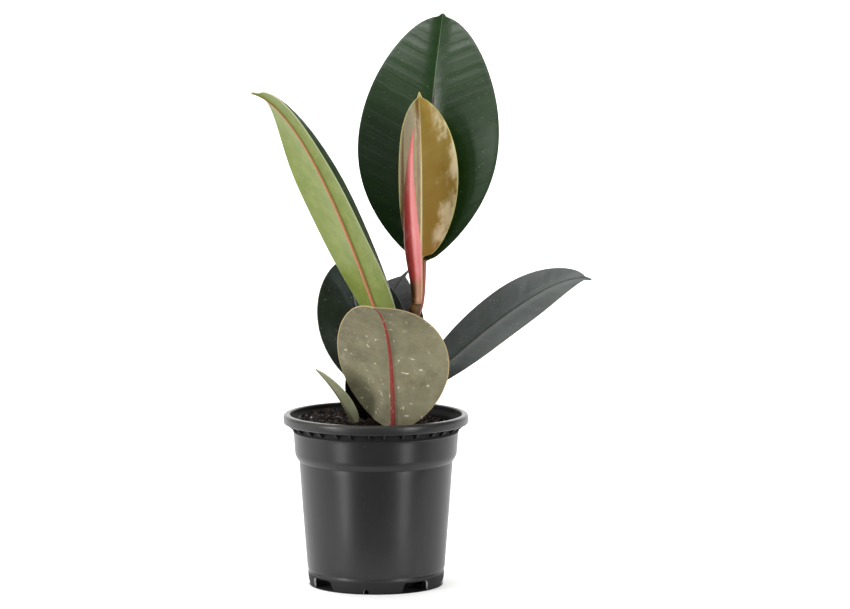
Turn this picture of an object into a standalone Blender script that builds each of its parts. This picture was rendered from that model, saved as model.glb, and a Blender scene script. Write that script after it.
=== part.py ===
"""A young rubber plant in a round nursery pot.

The pot stands on its foot ring at z = 0 with its axis on x = y = 0, and the viewer
stands on the -Y side.  The plant has its own frame: its origin is the point where the
stem leaves the soil.  All sizes below are in millimetres and are scaled to metres when
a mesh is made.
"""
from dataclasses import dataclass
from math import cos, exp, hypot, pi, radians, sin

import bmesh
import bpy
from mathutils import Vector

MM = 0.001
GAP = 0.3                    # room left between two pieces that touch

# ---------------------------------------------------------------- pot
POT_RADIUS = 60.0            # outside of the lip
POT_HEIGHT = 111.5
WALL = 1.2
LIP_WIDTH = 4.5              # top of the lip, from its inner edge to its outer edge
LIP_DEPTH = 6.0              # how far the lip's skirt hangs down
LIP_ROUND = 1.2
RECESS_IN = 6.6              # from the lip's outside in to the recess under it
RECESS_DEPTH = 11.0          # from the top of the lip down to the bottom of the recess
COLLAR_LENGTH = 16.5
COLLAR_TAPER = 1.0
STEP_IN = 2.7                # the collar's foot down to the tapering body
STEP_DROP = 3.3
BODY_TAPER = 5.2
FOOT_HEIGHT = 8.6
FOOT_TOE_IN = 2.0            # how far the foot curves in at the ground
FLOOR_CLEARANCE = 1.0        # the floor's flat middle stays this far off the ground
FLOOR_FLAT_RADIUS = 30.0
GUTTER_RADIUS = 36.0         # from here out the floor is raised to drain
POT_SEGMENTS = 48

RIB_PAIRS = 16               # gussets under the lip stand in pairs
RIB_SPREAD = radians(4.9)    # each rib of a pair stands this far from the pair's middle
RIB_START = radians(-89.0)   # middle of the first pair, from +X
RIB_THICKNESS = 0.8
NOTCH_COUNT = 4
NOTCH_HEIGHT = 7.0
NOTCH_HALF_ANGLE = radians(13.0)
NOTCH_START = radians(-53.0)     # middle of the first notch, from +X
CRACK_HEIGHT = 3.0               # small notch in the middle of each foot segment
CRACK_WIDTH = 3.4
DRAIN_RADIUS = 2.0
DRAIN_CIRCLE = 39.4
DRAIN_SPREAD = radians(8.0)

# ---------------------------------------------------------------- soil
SOIL_DROP = 7.2              # mean soil level below the top of the lip
SOIL_TILT_X = -0.045         # the soil stands higher on the left and at the back
SOIL_TILT_Y = 0.030
SOIL_DISH = 1.3              # dip round the plant
SOIL_DISH_RADIUS = 24.0
SOIL_LUMP = 0.45
SOIL_HOLLOW = (11.5, -17.0)  # middle of the hollow that the low front leaf grows out of
SOIL_HOLLOW_DEPTH = 3.2
SOIL_HOLLOW_RADIUS = 15.0
SOIL_RINGS = 7
SOIL_SEGMENTS = 40

# ---------------------------------------------------------------- plant
PLANT_X = 12.0
PLANT_Y = 0.0
STEM_HEIGHT = 80.0
STEM_BURIED = 20.0
STEM_LEAN = (14.0, -6.0)     # how far the stem's top stands from its foot
STEM_FOOT_RADIUS = 4.6
STEM_TOP_RADIUS = 3.5
STEM_ROUNDNESS = 4           # bevel resolution of the stem and the sheath
SHEATH_HEIGHT = 113.0
SHEATH_RADIUS = 5.6
SHEATH_LEAVE = 12.0          # it follows the stem's line for about this far
SHEATH_BEND = (-9.2, -6.5, 70.0)     # then its line leans towards this point
SHEATH_TIP = (-1.3, -3.0)
SHEATH_WIDEST = 0.34         # share of its height
BLADE_THICKNESS = 0.8
BLADE_ROWS = 14              # quads along a blade
BLADE_COLUMNS = 6            # quads across it
DRIP_WIDTH = 0.05            # of the half width, at the root of a drip tip
TIP_WIDTH = 0.012
STALK_POINTS = 6
STALK_GAP = 0.75             # from the stem to the middle of a stalk's end
RIB_SINK = 0.35              # the midrib lies this far under the blade's middle surface


@dataclass
class Leaf:
    """One leaf.  The foot is measured from its node, bend and tip from the foot."""
    name: str
    colour: tuple
    node: float              # height on the stem at which the stalk leaves it
    foot: tuple              # where the blade begins
    bend: tuple              # the point that the midrib's curve leans towards
    tip: tuple
    face: tuple              # the way the upper surface looks
    half_width: float
    fold: float              # how far each half is raised from flat, in radians
    curl: tuple              # extra turn of the left and the right half by the margin
    widest: float            # under 1 moves the widest place towards the tip
    roundness: tuple         # of the outline at the foot and at the tip, low is round
    drip: float              # share of the length that is the narrow drip tip
    stalk_radius: float


LEAVES = (
    Leaf("leaf_tall", (0.02, 0.07, 0.02), STEM_HEIGHT - 8.0, (6.4, 16.3, 32.0),
         (2.0, 10.5, 84.5), (12.5, 33.0, 159.7), (-0.25, -0.95, 0.1), 47.5, 0.02,
         (0.05, 0.1), 0.94, (0.76, 0.53), 0.015, 1.5),
    Leaf("leaf_young", (0.42, 0.30, 0.07), STEM_HEIGHT - 3.0, (3.7, 11.6, 30.7),
         (1.2, 8.0, 61.0), (-1.2, 4.0, 107.2), (0.25, -0.97, 0.0), 26.9, 0.37,
         (0.74, 0.70), 0.95, (0.55, 0.63), 0.04, 1.3),
    Leaf("leaf_left", (0.26, 0.31, 0.09), 38.0, (-7.9, 5.0, 6.0),
         (-52.0, -30.5, 166.5), (-89.8, -27.4, 173.0), (0.4, 0.23, 0.81), 46.9, 0.23,
         (-0.72, -0.5), 0.82, (0.75, 0.6), 0.06, 1.8),
    Leaf("leaf_left_dark", (0.03, 0.05, 0.04), 11.0, (-6.5, 9.8, 3.8),
         (-21.9, 13.0, 47.7), (-27.3, 36.0, 92.4), (0.11, -0.9, 0.42), 30.5, 0.19,
         (0.27, 0.25), 1.0, (0.75, 0.57), 0.05, 1.6),
    Leaf("leaf_back", (0.01, 0.014, 0.015), 6.0, (-1.6, 17.5, 4.8),
         (-18.9, 25.9, 54.0), (9.9, 55.0, 82.0), (-0.29, -0.45, 0.83), 30.5, 0.06,
         (0.1, 0.08), 0.94, (0.76, 0.75), 0.07, 1.6),
    Leaf("leaf_front", (0.20, 0.20, 0.12), 0.6, (-0.7, -15.0, -2.6),
         (0.6, -14.6, 80.2), (-12.9, -60.0, 87.1), (0.29, 0.81, 0.51), 37.7, 0.23,
         (-0.12, -0.25), 0.72, (0.82, 0.78), 0.06, 1.7),
    Leaf("leaf_right", (0.05, 0.07, 0.06), 18.0, (9.5, -1.8, 2.2),
         (87.6, 2.8, 83.0), (114.7, -1.0, 74.5), (-0.19, -0.38, 0.9), 28.6, 0.02,
         (0.11, 0.06), 0.79, (0.78, 0.76), 0.068, 1.8),
)
# These rise from the soil beside the stem.  Their node is the stem's foot.
SOIL_LEAVES = (
    Leaf("leaf_low", (0.01, 0.012, 0.01), 0.0, (-17.0, 12.0, 1.8),
         (-7.0, -13.0, 20.0), (-9.6, -16.0, 43.0), (0.2, -0.95, -0.1), 9.6, 0.12,
         (0.1, 0.1), 1.0, (0.5, 0.7), 0.06, 1.1),
    Leaf("leaf_small", (0.21, 0.22, 0.13), 0.0, (-26.3, -4.0, 2.4),
         (-9.3, -19.2, 22.5), (-24.3, -17.3, 37.0), (0.7, 0.24, 0.62), 11.2, 0.2,
         (0.19, 0.24), 0.85, (0.46, 0.67), 0.04, 1.1),
)
STALK_BURIED = 8.0


# ================================================================ scene helpers
def clear_scene():
    """Remove every object, so that the script can be run again."""
    for obj in list(bpy.data.objects):
        bpy.data.objects.remove(obj, do_unlink=True)


def new_collection(name):
    """A collection linked to the scene."""
    collection = bpy.data.collections.new(name)
    bpy.context.scene.collection.children.link(collection)
    return collection


def new_material(name, colour, roughness, metallic=0.0):
    """A plain Principled material."""
    material = bpy.data.materials.new(name)
    material.use_nodes = True
    shader = material.node_tree.nodes["Principled BSDF"]
    shader.inputs["Base Color"].default_value = (*colour, 1.0)
    shader.inputs["Roughness"].default_value = roughness
    shader.inputs["Metallic"].default_value = metallic
    return material


def new_object(name, mesh, collection, material=None):
    """An object in a collection, with its material."""
    obj = bpy.data.objects.new(name, mesh)
    collection.objects.link(obj)
    if material:
        mesh.materials.append(material)
    return obj


def make_tool(obj):
    """Mark an object as a cutter or as a piece that is joined to another."""
    obj.hide_render = True
    obj.display_type = "WIRE"
    return obj


def add_modifier(obj, kind, **settings):
    """Add a modifier and set its values."""
    modifier = obj.modifiers.new(kind.title(), kind)
    for key, value in settings.items():
        setattr(modifier, key, value)
    return modifier


def combine(obj, tool, operation):
    """Cut obj with the tool, or join the tool to it."""
    add_modifier(obj, "BOOLEAN", object=tool, operation=operation, solver="EXACT")


def shade_round(obj, angle=40.0):
    """Smooth shading that keeps edges sharper than the angle."""
    obj.data.shade_smooth()
    obj.data.set_sharp_from_angle(angle=radians(angle))


def turned(name, profile, segments, collection, material=None):
    """A profile in the XZ plane turned once about Z."""
    mesh = bpy.data.meshes.new(name)
    points = [(radius * MM, 0.0, height * MM) for radius, height in profile]
    mesh.from_pydata(points, [(i, i + 1) for i in range(len(points) - 1)], [])
    obj = new_object(name, mesh, collection, material)
    add_modifier(obj, "SCREW", angle=2 * pi, steps=segments, render_steps=segments,
                 use_merge_vertices=True, merge_threshold=0.00001,
                 use_smooth_shade=True)
    return obj


def tube(name, points, radii, collection, material=None, resolution=2):
    """A round tube through points, as a closed mesh."""
    curve = bpy.data.curves.new(name, "CURVE")
    curve.dimensions = "3D"
    curve.bevel_depth = MM
    curve.bevel_resolution = resolution
    curve.use_fill_caps = True
    spline = curve.splines.new("POLY")
    spline.points.add(len(points) - 1)
    for point, place, radius in zip(spline.points, points, radii):
        point.co = (*(Vector(place) * MM), 1.0)
        point.radius = radius
    drawn = bpy.data.objects.new(name + "_curve", curve)
    collection.objects.link(drawn)
    bpy.context.view_layer.update()
    evaluated = drawn.evaluated_get(bpy.context.evaluated_depsgraph_get())
    mesh = bpy.data.meshes.new_from_object(evaluated)
    mesh.name = name
    weld(mesh)
    bpy.data.objects.remove(drawn, do_unlink=True)
    mesh.materials.clear()
    return new_object(name, mesh, collection, material)


def weld(mesh):
    """Join a tube's loose caps to its wall."""
    work = bmesh.new()
    work.from_mesh(mesh)
    bmesh.ops.remove_doubles(work, verts=work.verts, dist=0.000001)
    bmesh.ops.recalc_face_normals(work, faces=work.faces)
    work.to_mesh(mesh)
    work.free()


# ================================================================ pot
def arc(centre, radius, start, end, steps):
    """Points on an arc in the profile's plane, angles in degrees."""
    angles = [radians(start + (end - start) * i / steps) for i in range(steps + 1)]
    return [(centre[0] + radius * cos(a), centre[1] + radius * sin(a)) for a in angles]


def pot_radii():
    """Outer radii of the pot by name, from the lip down."""
    recess = POT_RADIUS - RECESS_IN
    collar_foot = recess - COLLAR_TAPER
    body_top = collar_foot - STEP_IN
    return {"recess": recess, "collar_foot": collar_foot, "body_top": body_top,
            "body_foot": body_top - BODY_TAPER}


def pot_heights():
    """Heights of the pot's features by name."""
    recess = POT_HEIGHT - RECESS_DEPTH
    collar_foot = recess - COLLAR_LENGTH
    return {"recess": recess, "collar_foot": collar_foot,
            "body_top": collar_foot - STEP_DROP}


def pot_inside():
    """The inner side of the pot's wall, from the floor's middle up to the lip."""
    radius, height = pot_radii(), pot_heights()
    floor = FLOOR_CLEARANCE + WALL
    return [
        (0.0, floor),
        (FLOOR_FLAT_RADIUS - WALL / 2, floor),
        (GUTTER_RADIUS - WALL / 2, FOOT_HEIGHT + WALL / 2),
        (radius["body_foot"] - WALL, FOOT_HEIGHT + WALL / 2),
        (radius["body_top"] - WALL, height["body_top"]),
        (radius["collar_foot"] - WALL, height["collar_foot"] + WALL),
        (radius["recess"] - WALL, height["recess"]),
        (radius["recess"] - WALL, POT_HEIGHT - LIP_DEPTH),
    ]


def pot_profile():
    """The whole section: up the inside, over the lip and down the outside."""
    radius, height = pot_radii(), pot_heights()
    lip_inner = POT_RADIUS - LIP_WIDTH
    skirt = POT_RADIUS - WALL
    bulge = POT_HEIGHT - LIP_ROUND
    foot = radius["body_foot"]
    points = pot_inside()
    points += arc((lip_inner + LIP_ROUND, bulge), LIP_ROUND, 180, 90, 3)
    points += arc((POT_RADIUS - LIP_ROUND, bulge), LIP_ROUND, 90, 0, 3)
    points += [
        (POT_RADIUS, POT_HEIGHT - LIP_DEPTH),
        (skirt, POT_HEIGHT - LIP_DEPTH - WALL / 3),
        (skirt - WALL / 2, POT_HEIGHT - 2 * WALL),
        (lip_inner + WALL, POT_HEIGHT - 2 * WALL),
        (radius["recess"] + WALL / 4, POT_HEIGHT - LIP_DEPTH),
        (radius["recess"] - WALL / 4, height["recess"] + WALL / 2),
        (radius["recess"], height["recess"]),
        (radius["collar_foot"], height["collar_foot"]),
        (radius["collar_foot"] - STEP_IN / 3, height["collar_foot"] - STEP_DROP / 2),
        (radius["body_top"], height["body_top"]),
        (foot, FOOT_HEIGHT + 2.4),
        (foot - 0.6, FOOT_HEIGHT + 1.2),
        (foot - 0.4, FOOT_HEIGHT),
        (foot - 0.6, FOOT_HEIGHT / 2),
        (foot - FOOT_TOE_IN, 0.0),
        (foot - FOOT_TOE_IN - WALL, 0.0),
        (foot - 0.6 - WALL, FOOT_HEIGHT / 2),
        (foot - 0.6 - WALL, FOOT_HEIGHT - WALL / 2),
        (GUTTER_RADIUS, FOOT_HEIGHT - WALL / 2),
        (FLOOR_FLAT_RADIUS, FLOOR_CLEARANCE),
        (0.0, FLOOR_CLEARANCE),
    ]
    return points


def box_tool(name, size, centre, angle, collection):
    """A box whose X side looks out along the given angle."""
    bpy.ops.mesh.primitive_cube_add(size=1.0)
    obj = bpy.context.active_object
    obj.name = name
    place_by_angle(obj, centre, angle)
    for corner in obj.data.vertices:
        corner.co = Vector(corner.co) * Vector(size) * MM
    move_to(obj, collection)
    return make_tool(obj)


def place_by_angle(obj, centre, angle):
    """Put an object at (radius, height) on the pot, turned to face outwards."""
    radius, height = centre
    obj.location = Vector((radius * cos(angle), radius * sin(angle), height)) * MM
    obj.rotation_euler = (0.0, 0.0, angle)


def move_to(obj, collection):
    """Take an object out of its collections and put it in this one."""
    for other in list(obj.users_collection):
        other.objects.unlink(obj)
    collection.objects.link(obj)


def rib_tool(collection):
    """All gussets under the lip, as one mesh of wedges."""
    recess = pot_radii()["recess"]
    low, lip = pot_heights()["recess"] + 1.2, POT_HEIGHT - LIP_DEPTH
    top, skirt = POT_HEIGHT - 1.5 * WALL, POT_RADIUS - WALL / 2
    section = [(recess - WALL / 2, low), (recess + 1.0, low), (skirt, lip), (skirt, top),
               (POT_RADIUS - LIP_WIDTH + WALL / 2, top), (recess - WALL / 2, lip)]
    work = bmesh.new()
    for pair in range(RIB_PAIRS):
        for side in (-1, 1):
            add_rib(work, section, RIB_START + 2 * pi * pair / RIB_PAIRS + side * RIB_SPREAD)
    mesh = bpy.data.meshes.new("ribs")
    bmesh.ops.recalc_face_normals(work, faces=work.faces)
    work.to_mesh(mesh)
    work.free()
    return make_tool(new_object("ribs", mesh, collection))


def add_rib(work, section, angle):
    """One gusset: the section extruded across its thickness."""
    out = Vector((cos(angle), sin(angle), 0.0))
    across = Vector((-sin(angle), cos(angle), 0.0)) * RIB_THICKNESS / 2
    up = Vector((0.0, 0.0, 1.0))
    sides = []
    for shift in (-across, across):
        sides.append([work.verts.new((out * r + up * z + shift) * MM) for r, z in section])
    work.faces.new(sides[0])
    work.faces.new(sides[1])
    count = len(section)
    for i in range(count):
        j = (i + 1) % count
        work.faces.new((sides[0][i], sides[0][j], sides[1][j], sides[1][i]))


def cut_foot(pot, tools):
    """Cut the foot ring's notches, its small cracks and the drain holes."""
    foot = pot_radii()["body_foot"]
    ring = foot - FOOT_TOE_IN
    width = 2 * ring * sin(NOTCH_HALF_ANGLE)
    for i in range(NOTCH_COUNT):
        angle = NOTCH_START + 2 * pi * i / NOTCH_COUNT
        notch = box_tool(f"notch_{i}", (9.0, width, 2 * NOTCH_HEIGHT), (foot, 0.0), angle, tools)
        combine(pot, notch, "DIFFERENCE")
        middle = angle + pi / NOTCH_COUNT
        crack = box_tool(f"crack_{i}", (9.0, CRACK_WIDTH, 2 * CRACK_HEIGHT), (foot, 0.0),
                         middle, tools)
        combine(pot, crack, "DIFFERENCE")
        for side in (-1, 1):
            drain = drain_tool(f"drain_{i}_{side + 1}", angle + side * DRAIN_SPREAD, tools)
            combine(pot, drain, "DIFFERENCE")


def drain_tool(name, angle, collection):
    """A round cutter through the raised part of the floor."""
    bpy.ops.mesh.primitive_cylinder_add(vertices=12, radius=DRAIN_RADIUS * MM, depth=8.0 * MM)
    obj = bpy.context.active_object
    obj.name = name
    place_by_angle(obj, (DRAIN_CIRCLE, FOOT_HEIGHT), angle)
    move_to(obj, collection)
    return make_tool(obj)


def build_pot(parts, tools):
    """The thin moulded pot with its lip, gussets, collar, foot and drain holes."""
    plastic = new_material("black_plastic", (0.035, 0.035, 0.036), 0.45)
    pot = turned("pot", pot_profile(), POT_SEGMENTS, parts, plastic)
    combine(pot, rib_tool(tools), "UNION")
    cut_foot(pot, tools)
    return pot


# ================================================================ soil
def soil_level():
    """Mean height of the soil."""
    return POT_HEIGHT - SOIL_DROP


def soil_height(x, y):
    """Height of the lumpy soil surface at a place in the pot."""
    from_plant = hypot(x - PLANT_X, y - PLANT_Y) / SOIL_DISH_RADIUS
    from_hollow = hypot(x - SOIL_HOLLOW[0], y - SOIL_HOLLOW[1]) / SOIL_HOLLOW_RADIUS
    dish = SOIL_DISH * exp(-from_plant ** 2) + SOIL_HOLLOW_DEPTH * exp(-from_hollow ** 2)
    lumps = sin(0.31 * x + 0.9) * sin(0.27 * y) + 0.7 * sin(0.52 * x - 0.4 * y + 2.0)
    return soil_level() + SOIL_TILT_X * x + SOIL_TILT_Y * y - dish + SOIL_LUMP * lumps


def wall_radius_at(height):
    """The inner radius of the pot's wall at a height."""
    wall = pot_inside()[3:]
    for (r0, z0), (r1, z1) in zip(wall, wall[1:]):
        if height <= z1:
            return r0 + (r1 - r0) * (height - z0) / (z1 - z0)
    return wall[-1][0]


def soil_profile():
    """Top rings from the axis out, then down the wall and in over the floor."""
    level = soil_level()
    edge = wall_radius_at(level - 2.0) - GAP
    below = [(r - GAP, z) for r, z in pot_inside()[4:] if z < level - 4.0]
    floor = pot_inside()[:4]
    top = [(edge * i / SOIL_RINGS, level) for i in range(SOIL_RINGS + 1)]
    down = [(floor[3][0] - GAP, floor[3][1] + GAP), (floor[2][0] - GAP / 2, floor[2][1] + GAP),
            (floor[1][0] - GAP / 2, floor[1][1] + GAP), (0.0, floor[0][1] + GAP)]
    return top + below[::-1] + down


def build_soil(parts, tools):
    """The root ball: it fills the pot, and its top is lumpy."""
    earth = new_material("potting_soil", (0.035, 0.022, 0.015), 0.95)
    turned_soil = turned("soil_blank", soil_profile(), SOIL_SEGMENTS, parts)
    evaluated = turned_soil.evaluated_get(bpy.context.evaluated_depsgraph_get())
    mesh = bpy.data.meshes.new_from_object(evaluated)
    bpy.data.objects.remove(turned_soil, do_unlink=True)
    top = soil_level() * MM - 0.000001
    for point in mesh.vertices:
        if point.co.z > top:
            point.co.z = soil_height(point.co.x / MM, point.co.y / MM) * MM
    soil = new_object("potting_soil", mesh, parts, earth)
    stem_hole = tube("stem_hole", *stem_route(GAP), tools, resolution=STEM_ROUNDNESS)
    combine(soil, make_tool(stem_hole), "DIFFERENCE")
    for leaf in SOIL_LEAVES:
        hole = tube(leaf.name + "_hole", *buried_stalk_route(leaf, GAP * 1.5), tools)
        combine(soil, make_tool(hole), "DIFFERENCE")
    front = next(leaf for leaf in LEAVES if leaf.name == "leaf_front")
    points, radii = stalk_route(front), [front.stalk_radius + GAP * 1.5] * STALK_POINTS
    foot, along = midrib(front, 0.0)
    points, radii = points + [foot, foot + along * 4.0], radii + radii[:2]
    combine(soil, make_tool(tube("front_hole", points, radii, tools)), "DIFFERENCE")
    shade_round(soil)
    return soil


# ================================================================ stem and sheath
def stem_axis(height):
    """A point on the stem's axis at a height above the soil."""
    share = height / STEM_HEIGHT
    return Vector((PLANT_X + STEM_LEAN[0] * share, PLANT_Y + STEM_LEAN[1] * share,
                   soil_level() + height))


def stem_radius(height):
    """The stem's radius, which narrows upwards."""
    share = max(height, 0.0) / STEM_HEIGHT
    return STEM_FOOT_RADIUS + (STEM_TOP_RADIUS - STEM_FOOT_RADIUS) * share


def stem_direction():
    """The way the stem points."""
    return Vector((*STEM_LEAN, STEM_HEIGHT)).normalized()


def stem_route(extra=0.0):
    """Points and radii of the stem.  extra makes the hole that it stands in."""
    heights = [-STEM_BURIED, 0.0, STEM_HEIGHT * 0.35, STEM_HEIGHT * 0.7, STEM_HEIGHT]
    points = [stem_axis(h) for h in heights]
    points[0] -= stem_direction() * extra
    return points, [stem_radius(h) + extra for h in heights]


def cubic(p0, p1, p2, p3, t):
    """A point on a cubic curve."""
    return p0 * (1 - t) ** 3 + p1 * 3 * t * (1 - t) ** 2 + p2 * 3 * t * t * (1 - t) + p3 * t ** 3


def sheath_route():
    """The pointed sheath round the next leaf, standing on the stem's top."""
    steps = 14
    base = stem_axis(STEM_HEIGHT) + stem_direction() * GAP
    leave = base + stem_direction() * SHEATH_LEAVE
    bend = base + Vector(SHEATH_BEND)
    tip = base + Vector((*SHEATH_TIP, SHEATH_HEIGHT))
    points, radii = [base], [sheath_radius(0.0)]
    for i in range(steps + 1):
        t = i / steps
        place = cubic(base + stem_direction(), leave, bend, tip, t)
        points.append(place)
        radii.append(sheath_radius((place.z - base.z) / SHEATH_HEIGHT))
    return points, radii


def sheath_radius(share):
    """Narrow at its foot, widest at a third of its height, drawn out to a point."""
    foot, point = 0.6, 0.04
    if share < SHEATH_WIDEST:
        rise = sin(pi / 2 * share / SHEATH_WIDEST) ** 2
        return SHEATH_RADIUS * (foot + (1 - foot) * rise)
    fall = (share - SHEATH_WIDEST) / (1 - SHEATH_WIDEST)
    return SHEATH_RADIUS * (point + (1 - point) * (1 - min(fall, 1.0) ** 1.2))


def build_stem(parts):
    """The short woody stem, from its foot in the soil up to the sheath."""
    bark = new_material("green_stem", (0.16, 0.11, 0.04), 0.6)
    stem = tube("stem", *stem_route(), parts, bark, resolution=STEM_ROUNDNESS)
    shade_round(stem)
    return stem


def build_sheath(parts):
    """The pink pointed bud sheath."""
    pink = new_material("pink_sheath", (0.62, 0.14, 0.15), 0.4)
    sheath = tube("bud_sheath", *sheath_route(), parts, pink, resolution=STEM_ROUNDNESS)
    shade_round(sheath)
    return sheath


# ================================================================ leaves
def leaf_points(leaf):
    """The leaf's foot, bend and tip in the pot's frame."""
    node = stem_axis(leaf.node) if leaf.node else Vector((PLANT_X, PLANT_Y, soil_level()))
    foot = node + Vector(leaf.foot)
    return foot, foot + Vector(leaf.bend), foot + Vector(leaf.tip)


def midrib(leaf, t):
    """A point on the midrib and the direction there, t from foot to tip."""
    foot, bend, tip = leaf_points(leaf)
    place = foot * (1 - t) ** 2 + bend * 2 * t * (1 - t) + tip * t * t
    along = (bend - foot) * (1 - t) + (tip - bend) * t
    return place, along.normalized()


def blade_frame(leaf, t):
    """The midrib's point with the blade's sideways and upward directions there."""
    place, along = midrib(leaf, t)
    face = Vector(leaf.face)
    up = (face - along * face.dot(along)).normalized()
    return place, along.cross(up), up


def blade_half_width(leaf, t):
    """Half the blade's width, in half widths: a rounded blade with a drip tip."""
    end = 1.0 - leaf.drip
    body = 0.0
    if t < end:
        share = (t / end) ** leaf.widest
        power = leaf.roundness[0] + (leaf.roundness[1] - leaf.roundness[0]) * share
        body = abs(sin(pi * share)) ** power
    drip = DRIP_WIDTH * min((1.0 - t) / leaf.drip, 1.0) ** 0.8 + TIP_WIDTH
    return hypot(body, drip)


def blade_section(leaf, across):
    """Sideways and upward distance, in half widths, of a place on the blade."""
    curl = leaf.curl[0] if across < 0 else leaf.curl[1]
    reach = abs(across)
    side = -1.0 if across < 0 else 1.0
    if abs(curl) < 0.001:
        return side * reach * cos(leaf.fold), reach * sin(leaf.fold)
    turned_to = leaf.fold + curl * reach
    return (side * (sin(turned_to) - sin(leaf.fold)) / curl,
            (cos(leaf.fold) - cos(turned_to)) / curl)


def blade_row(share):
    """Spread the rows so that they lie closer together towards both ends."""
    start, stretch = 0.15, 0.85
    low = cos(pi * start)
    return (low - cos(pi * (start + stretch * share))) / (low + 1.0)


def build_blade(leaf, parts, material):
    """The blade: a grid laid along the midrib and thickened."""
    bpy.ops.mesh.primitive_grid_add(x_subdivisions=BLADE_COLUMNS, y_subdivisions=BLADE_ROWS,
                                    size=2.0)
    blade = bpy.context.active_object
    blade.name = leaf.name
    for point in blade.data.vertices:
        t = blade_row((point.co.y + 1.0) / 2.0)
        place, right, up = blade_frame(leaf, t)
        sideways, upward = blade_section(leaf, point.co.x * blade_half_width(leaf, t))
        offset = (right * sideways + up * upward) * leaf.half_width
        point.co = (place + offset) * MM
    blade.data.materials.append(material)
    move_to(blade, parts)
    add_modifier(blade, "SOLIDIFY", thickness=BLADE_THICKNESS * MM, offset=0.0)
    return blade


def stalk_start(leaf):
    """Where the stalk leaves the stem, and its direction there."""
    axis = stem_axis(leaf.node)
    foot = leaf_points(leaf)[0]
    out = Vector((foot.x - axis.x, foot.y - axis.y, 0.0)).normalized()
    return axis + out * (stem_radius(leaf.node) + STALK_GAP), out


def smooth_run(start, leave, end, arrive, count):
    """Points on a smooth curve between two places with given directions."""
    reach = (end - start).length
    first, last = start + leave * reach * 0.4, end - arrive * reach * 0.4
    return [cubic(start, first, last, end, i / count) for i in range(count)]


def stalk_route(leaf):
    """The stalk from the stem out to its blade."""
    start, out = stalk_start(leaf)
    foot, along = midrib(leaf, 0.0)
    return smooth_run(start, out, foot, along, STALK_POINTS)


def buried_stalk_route(leaf, extra=0.0):
    """A stalk from inside the soil up to its blade.  extra makes the hole for it."""
    foot, along = midrib(leaf, 0.0)
    below = foot + Vector((2.0, 1.0, -STALK_BURIED))
    upwards = Vector((0.0, 0.0, 1.0))
    points = smooth_run(below, upwards, foot, along, STALK_POINTS)
    if extra:
        points = [below - upwards * extra] + points + [foot]
    return points, [leaf.stalk_radius + extra] * len(points)


def midrib_route(leaf):
    """The thick midrib under the blade, tapering towards the tip."""
    steps = 10
    reach = 0.9
    points, radii = [], []
    for i in range(steps + 1):
        t = reach * i / steps
        place, _, up = blade_frame(leaf, t)
        points.append(place - up * RIB_SINK)
        radii.append(leaf.stalk_radius * (1.0 - 0.72 * t / reach))
    return points, radii


def build_leaf(leaf, parts, tools, stalk):
    """A leaf grown in one piece: blade, midrib and stalk."""
    material = new_material(leaf.name + "_green", leaf.colour, 0.4)
    blade = build_blade(leaf, parts, material)
    rib_points, rib_radii = midrib_route(leaf)
    points = stalk + rib_points
    radii = [leaf.stalk_radius] * len(stalk) + rib_radii
    rib = make_tool(tube(leaf.name + "_midrib", points, radii, tools))
    combine(blade, rib, "UNION")
    shade_round(blade)
    return blade


def build_plant(parts, tools):
    """Stem, sheath and all leaves."""
    build_stem(parts)
    build_sheath(parts)
    for leaf in LEAVES:
        build_leaf(leaf, parts, tools, stalk_route(leaf))
    for leaf in SOIL_LEAVES:
        build_leaf(leaf, parts, tools, buried_stalk_route(leaf)[0])


def main():
    clear_scene()
    parts = new_collection("potted_rubber_plant")
    tools = new_collection("cutters")
    build_pot(parts, tools)
    build_soil(parts, tools)
    build_plant(parts, tools)


main()
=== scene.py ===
"""Looks of a young rubber plant in a round nursery pot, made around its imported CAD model.

Places and sizes are in millimetres in the functions and in metres in the panel's
properties and the finished meshes.  The pot's axis is x = y = 0, the ground is z = 0 and
the viewer stands on the -Y side.
"""
from dataclasses import dataclass
from math import cos, exp, hypot, pi, radians, sin

import bmesh
import bpy
import numpy as np
from bpy.props import FloatProperty, FloatVectorProperty, IntProperty, PointerProperty
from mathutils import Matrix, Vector, noise


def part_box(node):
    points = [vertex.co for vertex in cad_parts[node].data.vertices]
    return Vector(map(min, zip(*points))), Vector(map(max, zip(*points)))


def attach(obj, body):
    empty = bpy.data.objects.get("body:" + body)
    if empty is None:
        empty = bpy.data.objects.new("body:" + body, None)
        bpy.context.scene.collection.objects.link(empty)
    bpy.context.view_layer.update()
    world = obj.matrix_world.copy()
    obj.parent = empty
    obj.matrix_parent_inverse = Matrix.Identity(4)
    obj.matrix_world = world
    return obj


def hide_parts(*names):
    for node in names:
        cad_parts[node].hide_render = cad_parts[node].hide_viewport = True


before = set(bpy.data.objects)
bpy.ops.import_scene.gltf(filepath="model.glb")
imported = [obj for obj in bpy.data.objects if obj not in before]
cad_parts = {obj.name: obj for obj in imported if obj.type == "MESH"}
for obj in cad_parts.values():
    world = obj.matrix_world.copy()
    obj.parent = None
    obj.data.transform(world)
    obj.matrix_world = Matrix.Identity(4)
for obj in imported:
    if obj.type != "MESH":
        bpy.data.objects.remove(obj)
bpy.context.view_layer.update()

bl_info = {
    "name": "Potted Rubber Plant",
    "version": (1, 0, 0),
    "blender": (4, 5, 0),
    "location": "3D View > Sidebar > Rubber Plant",
    "description": "Makes a young rubber plant with glossy leaves in a black nursery pot",
    "category": "Add Mesh",
}

MM = 0.001
BODY = "root"
MERGE_DISTANCE = 0.000002    # in metres
POT_LOW, POT_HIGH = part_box("pot")

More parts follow.
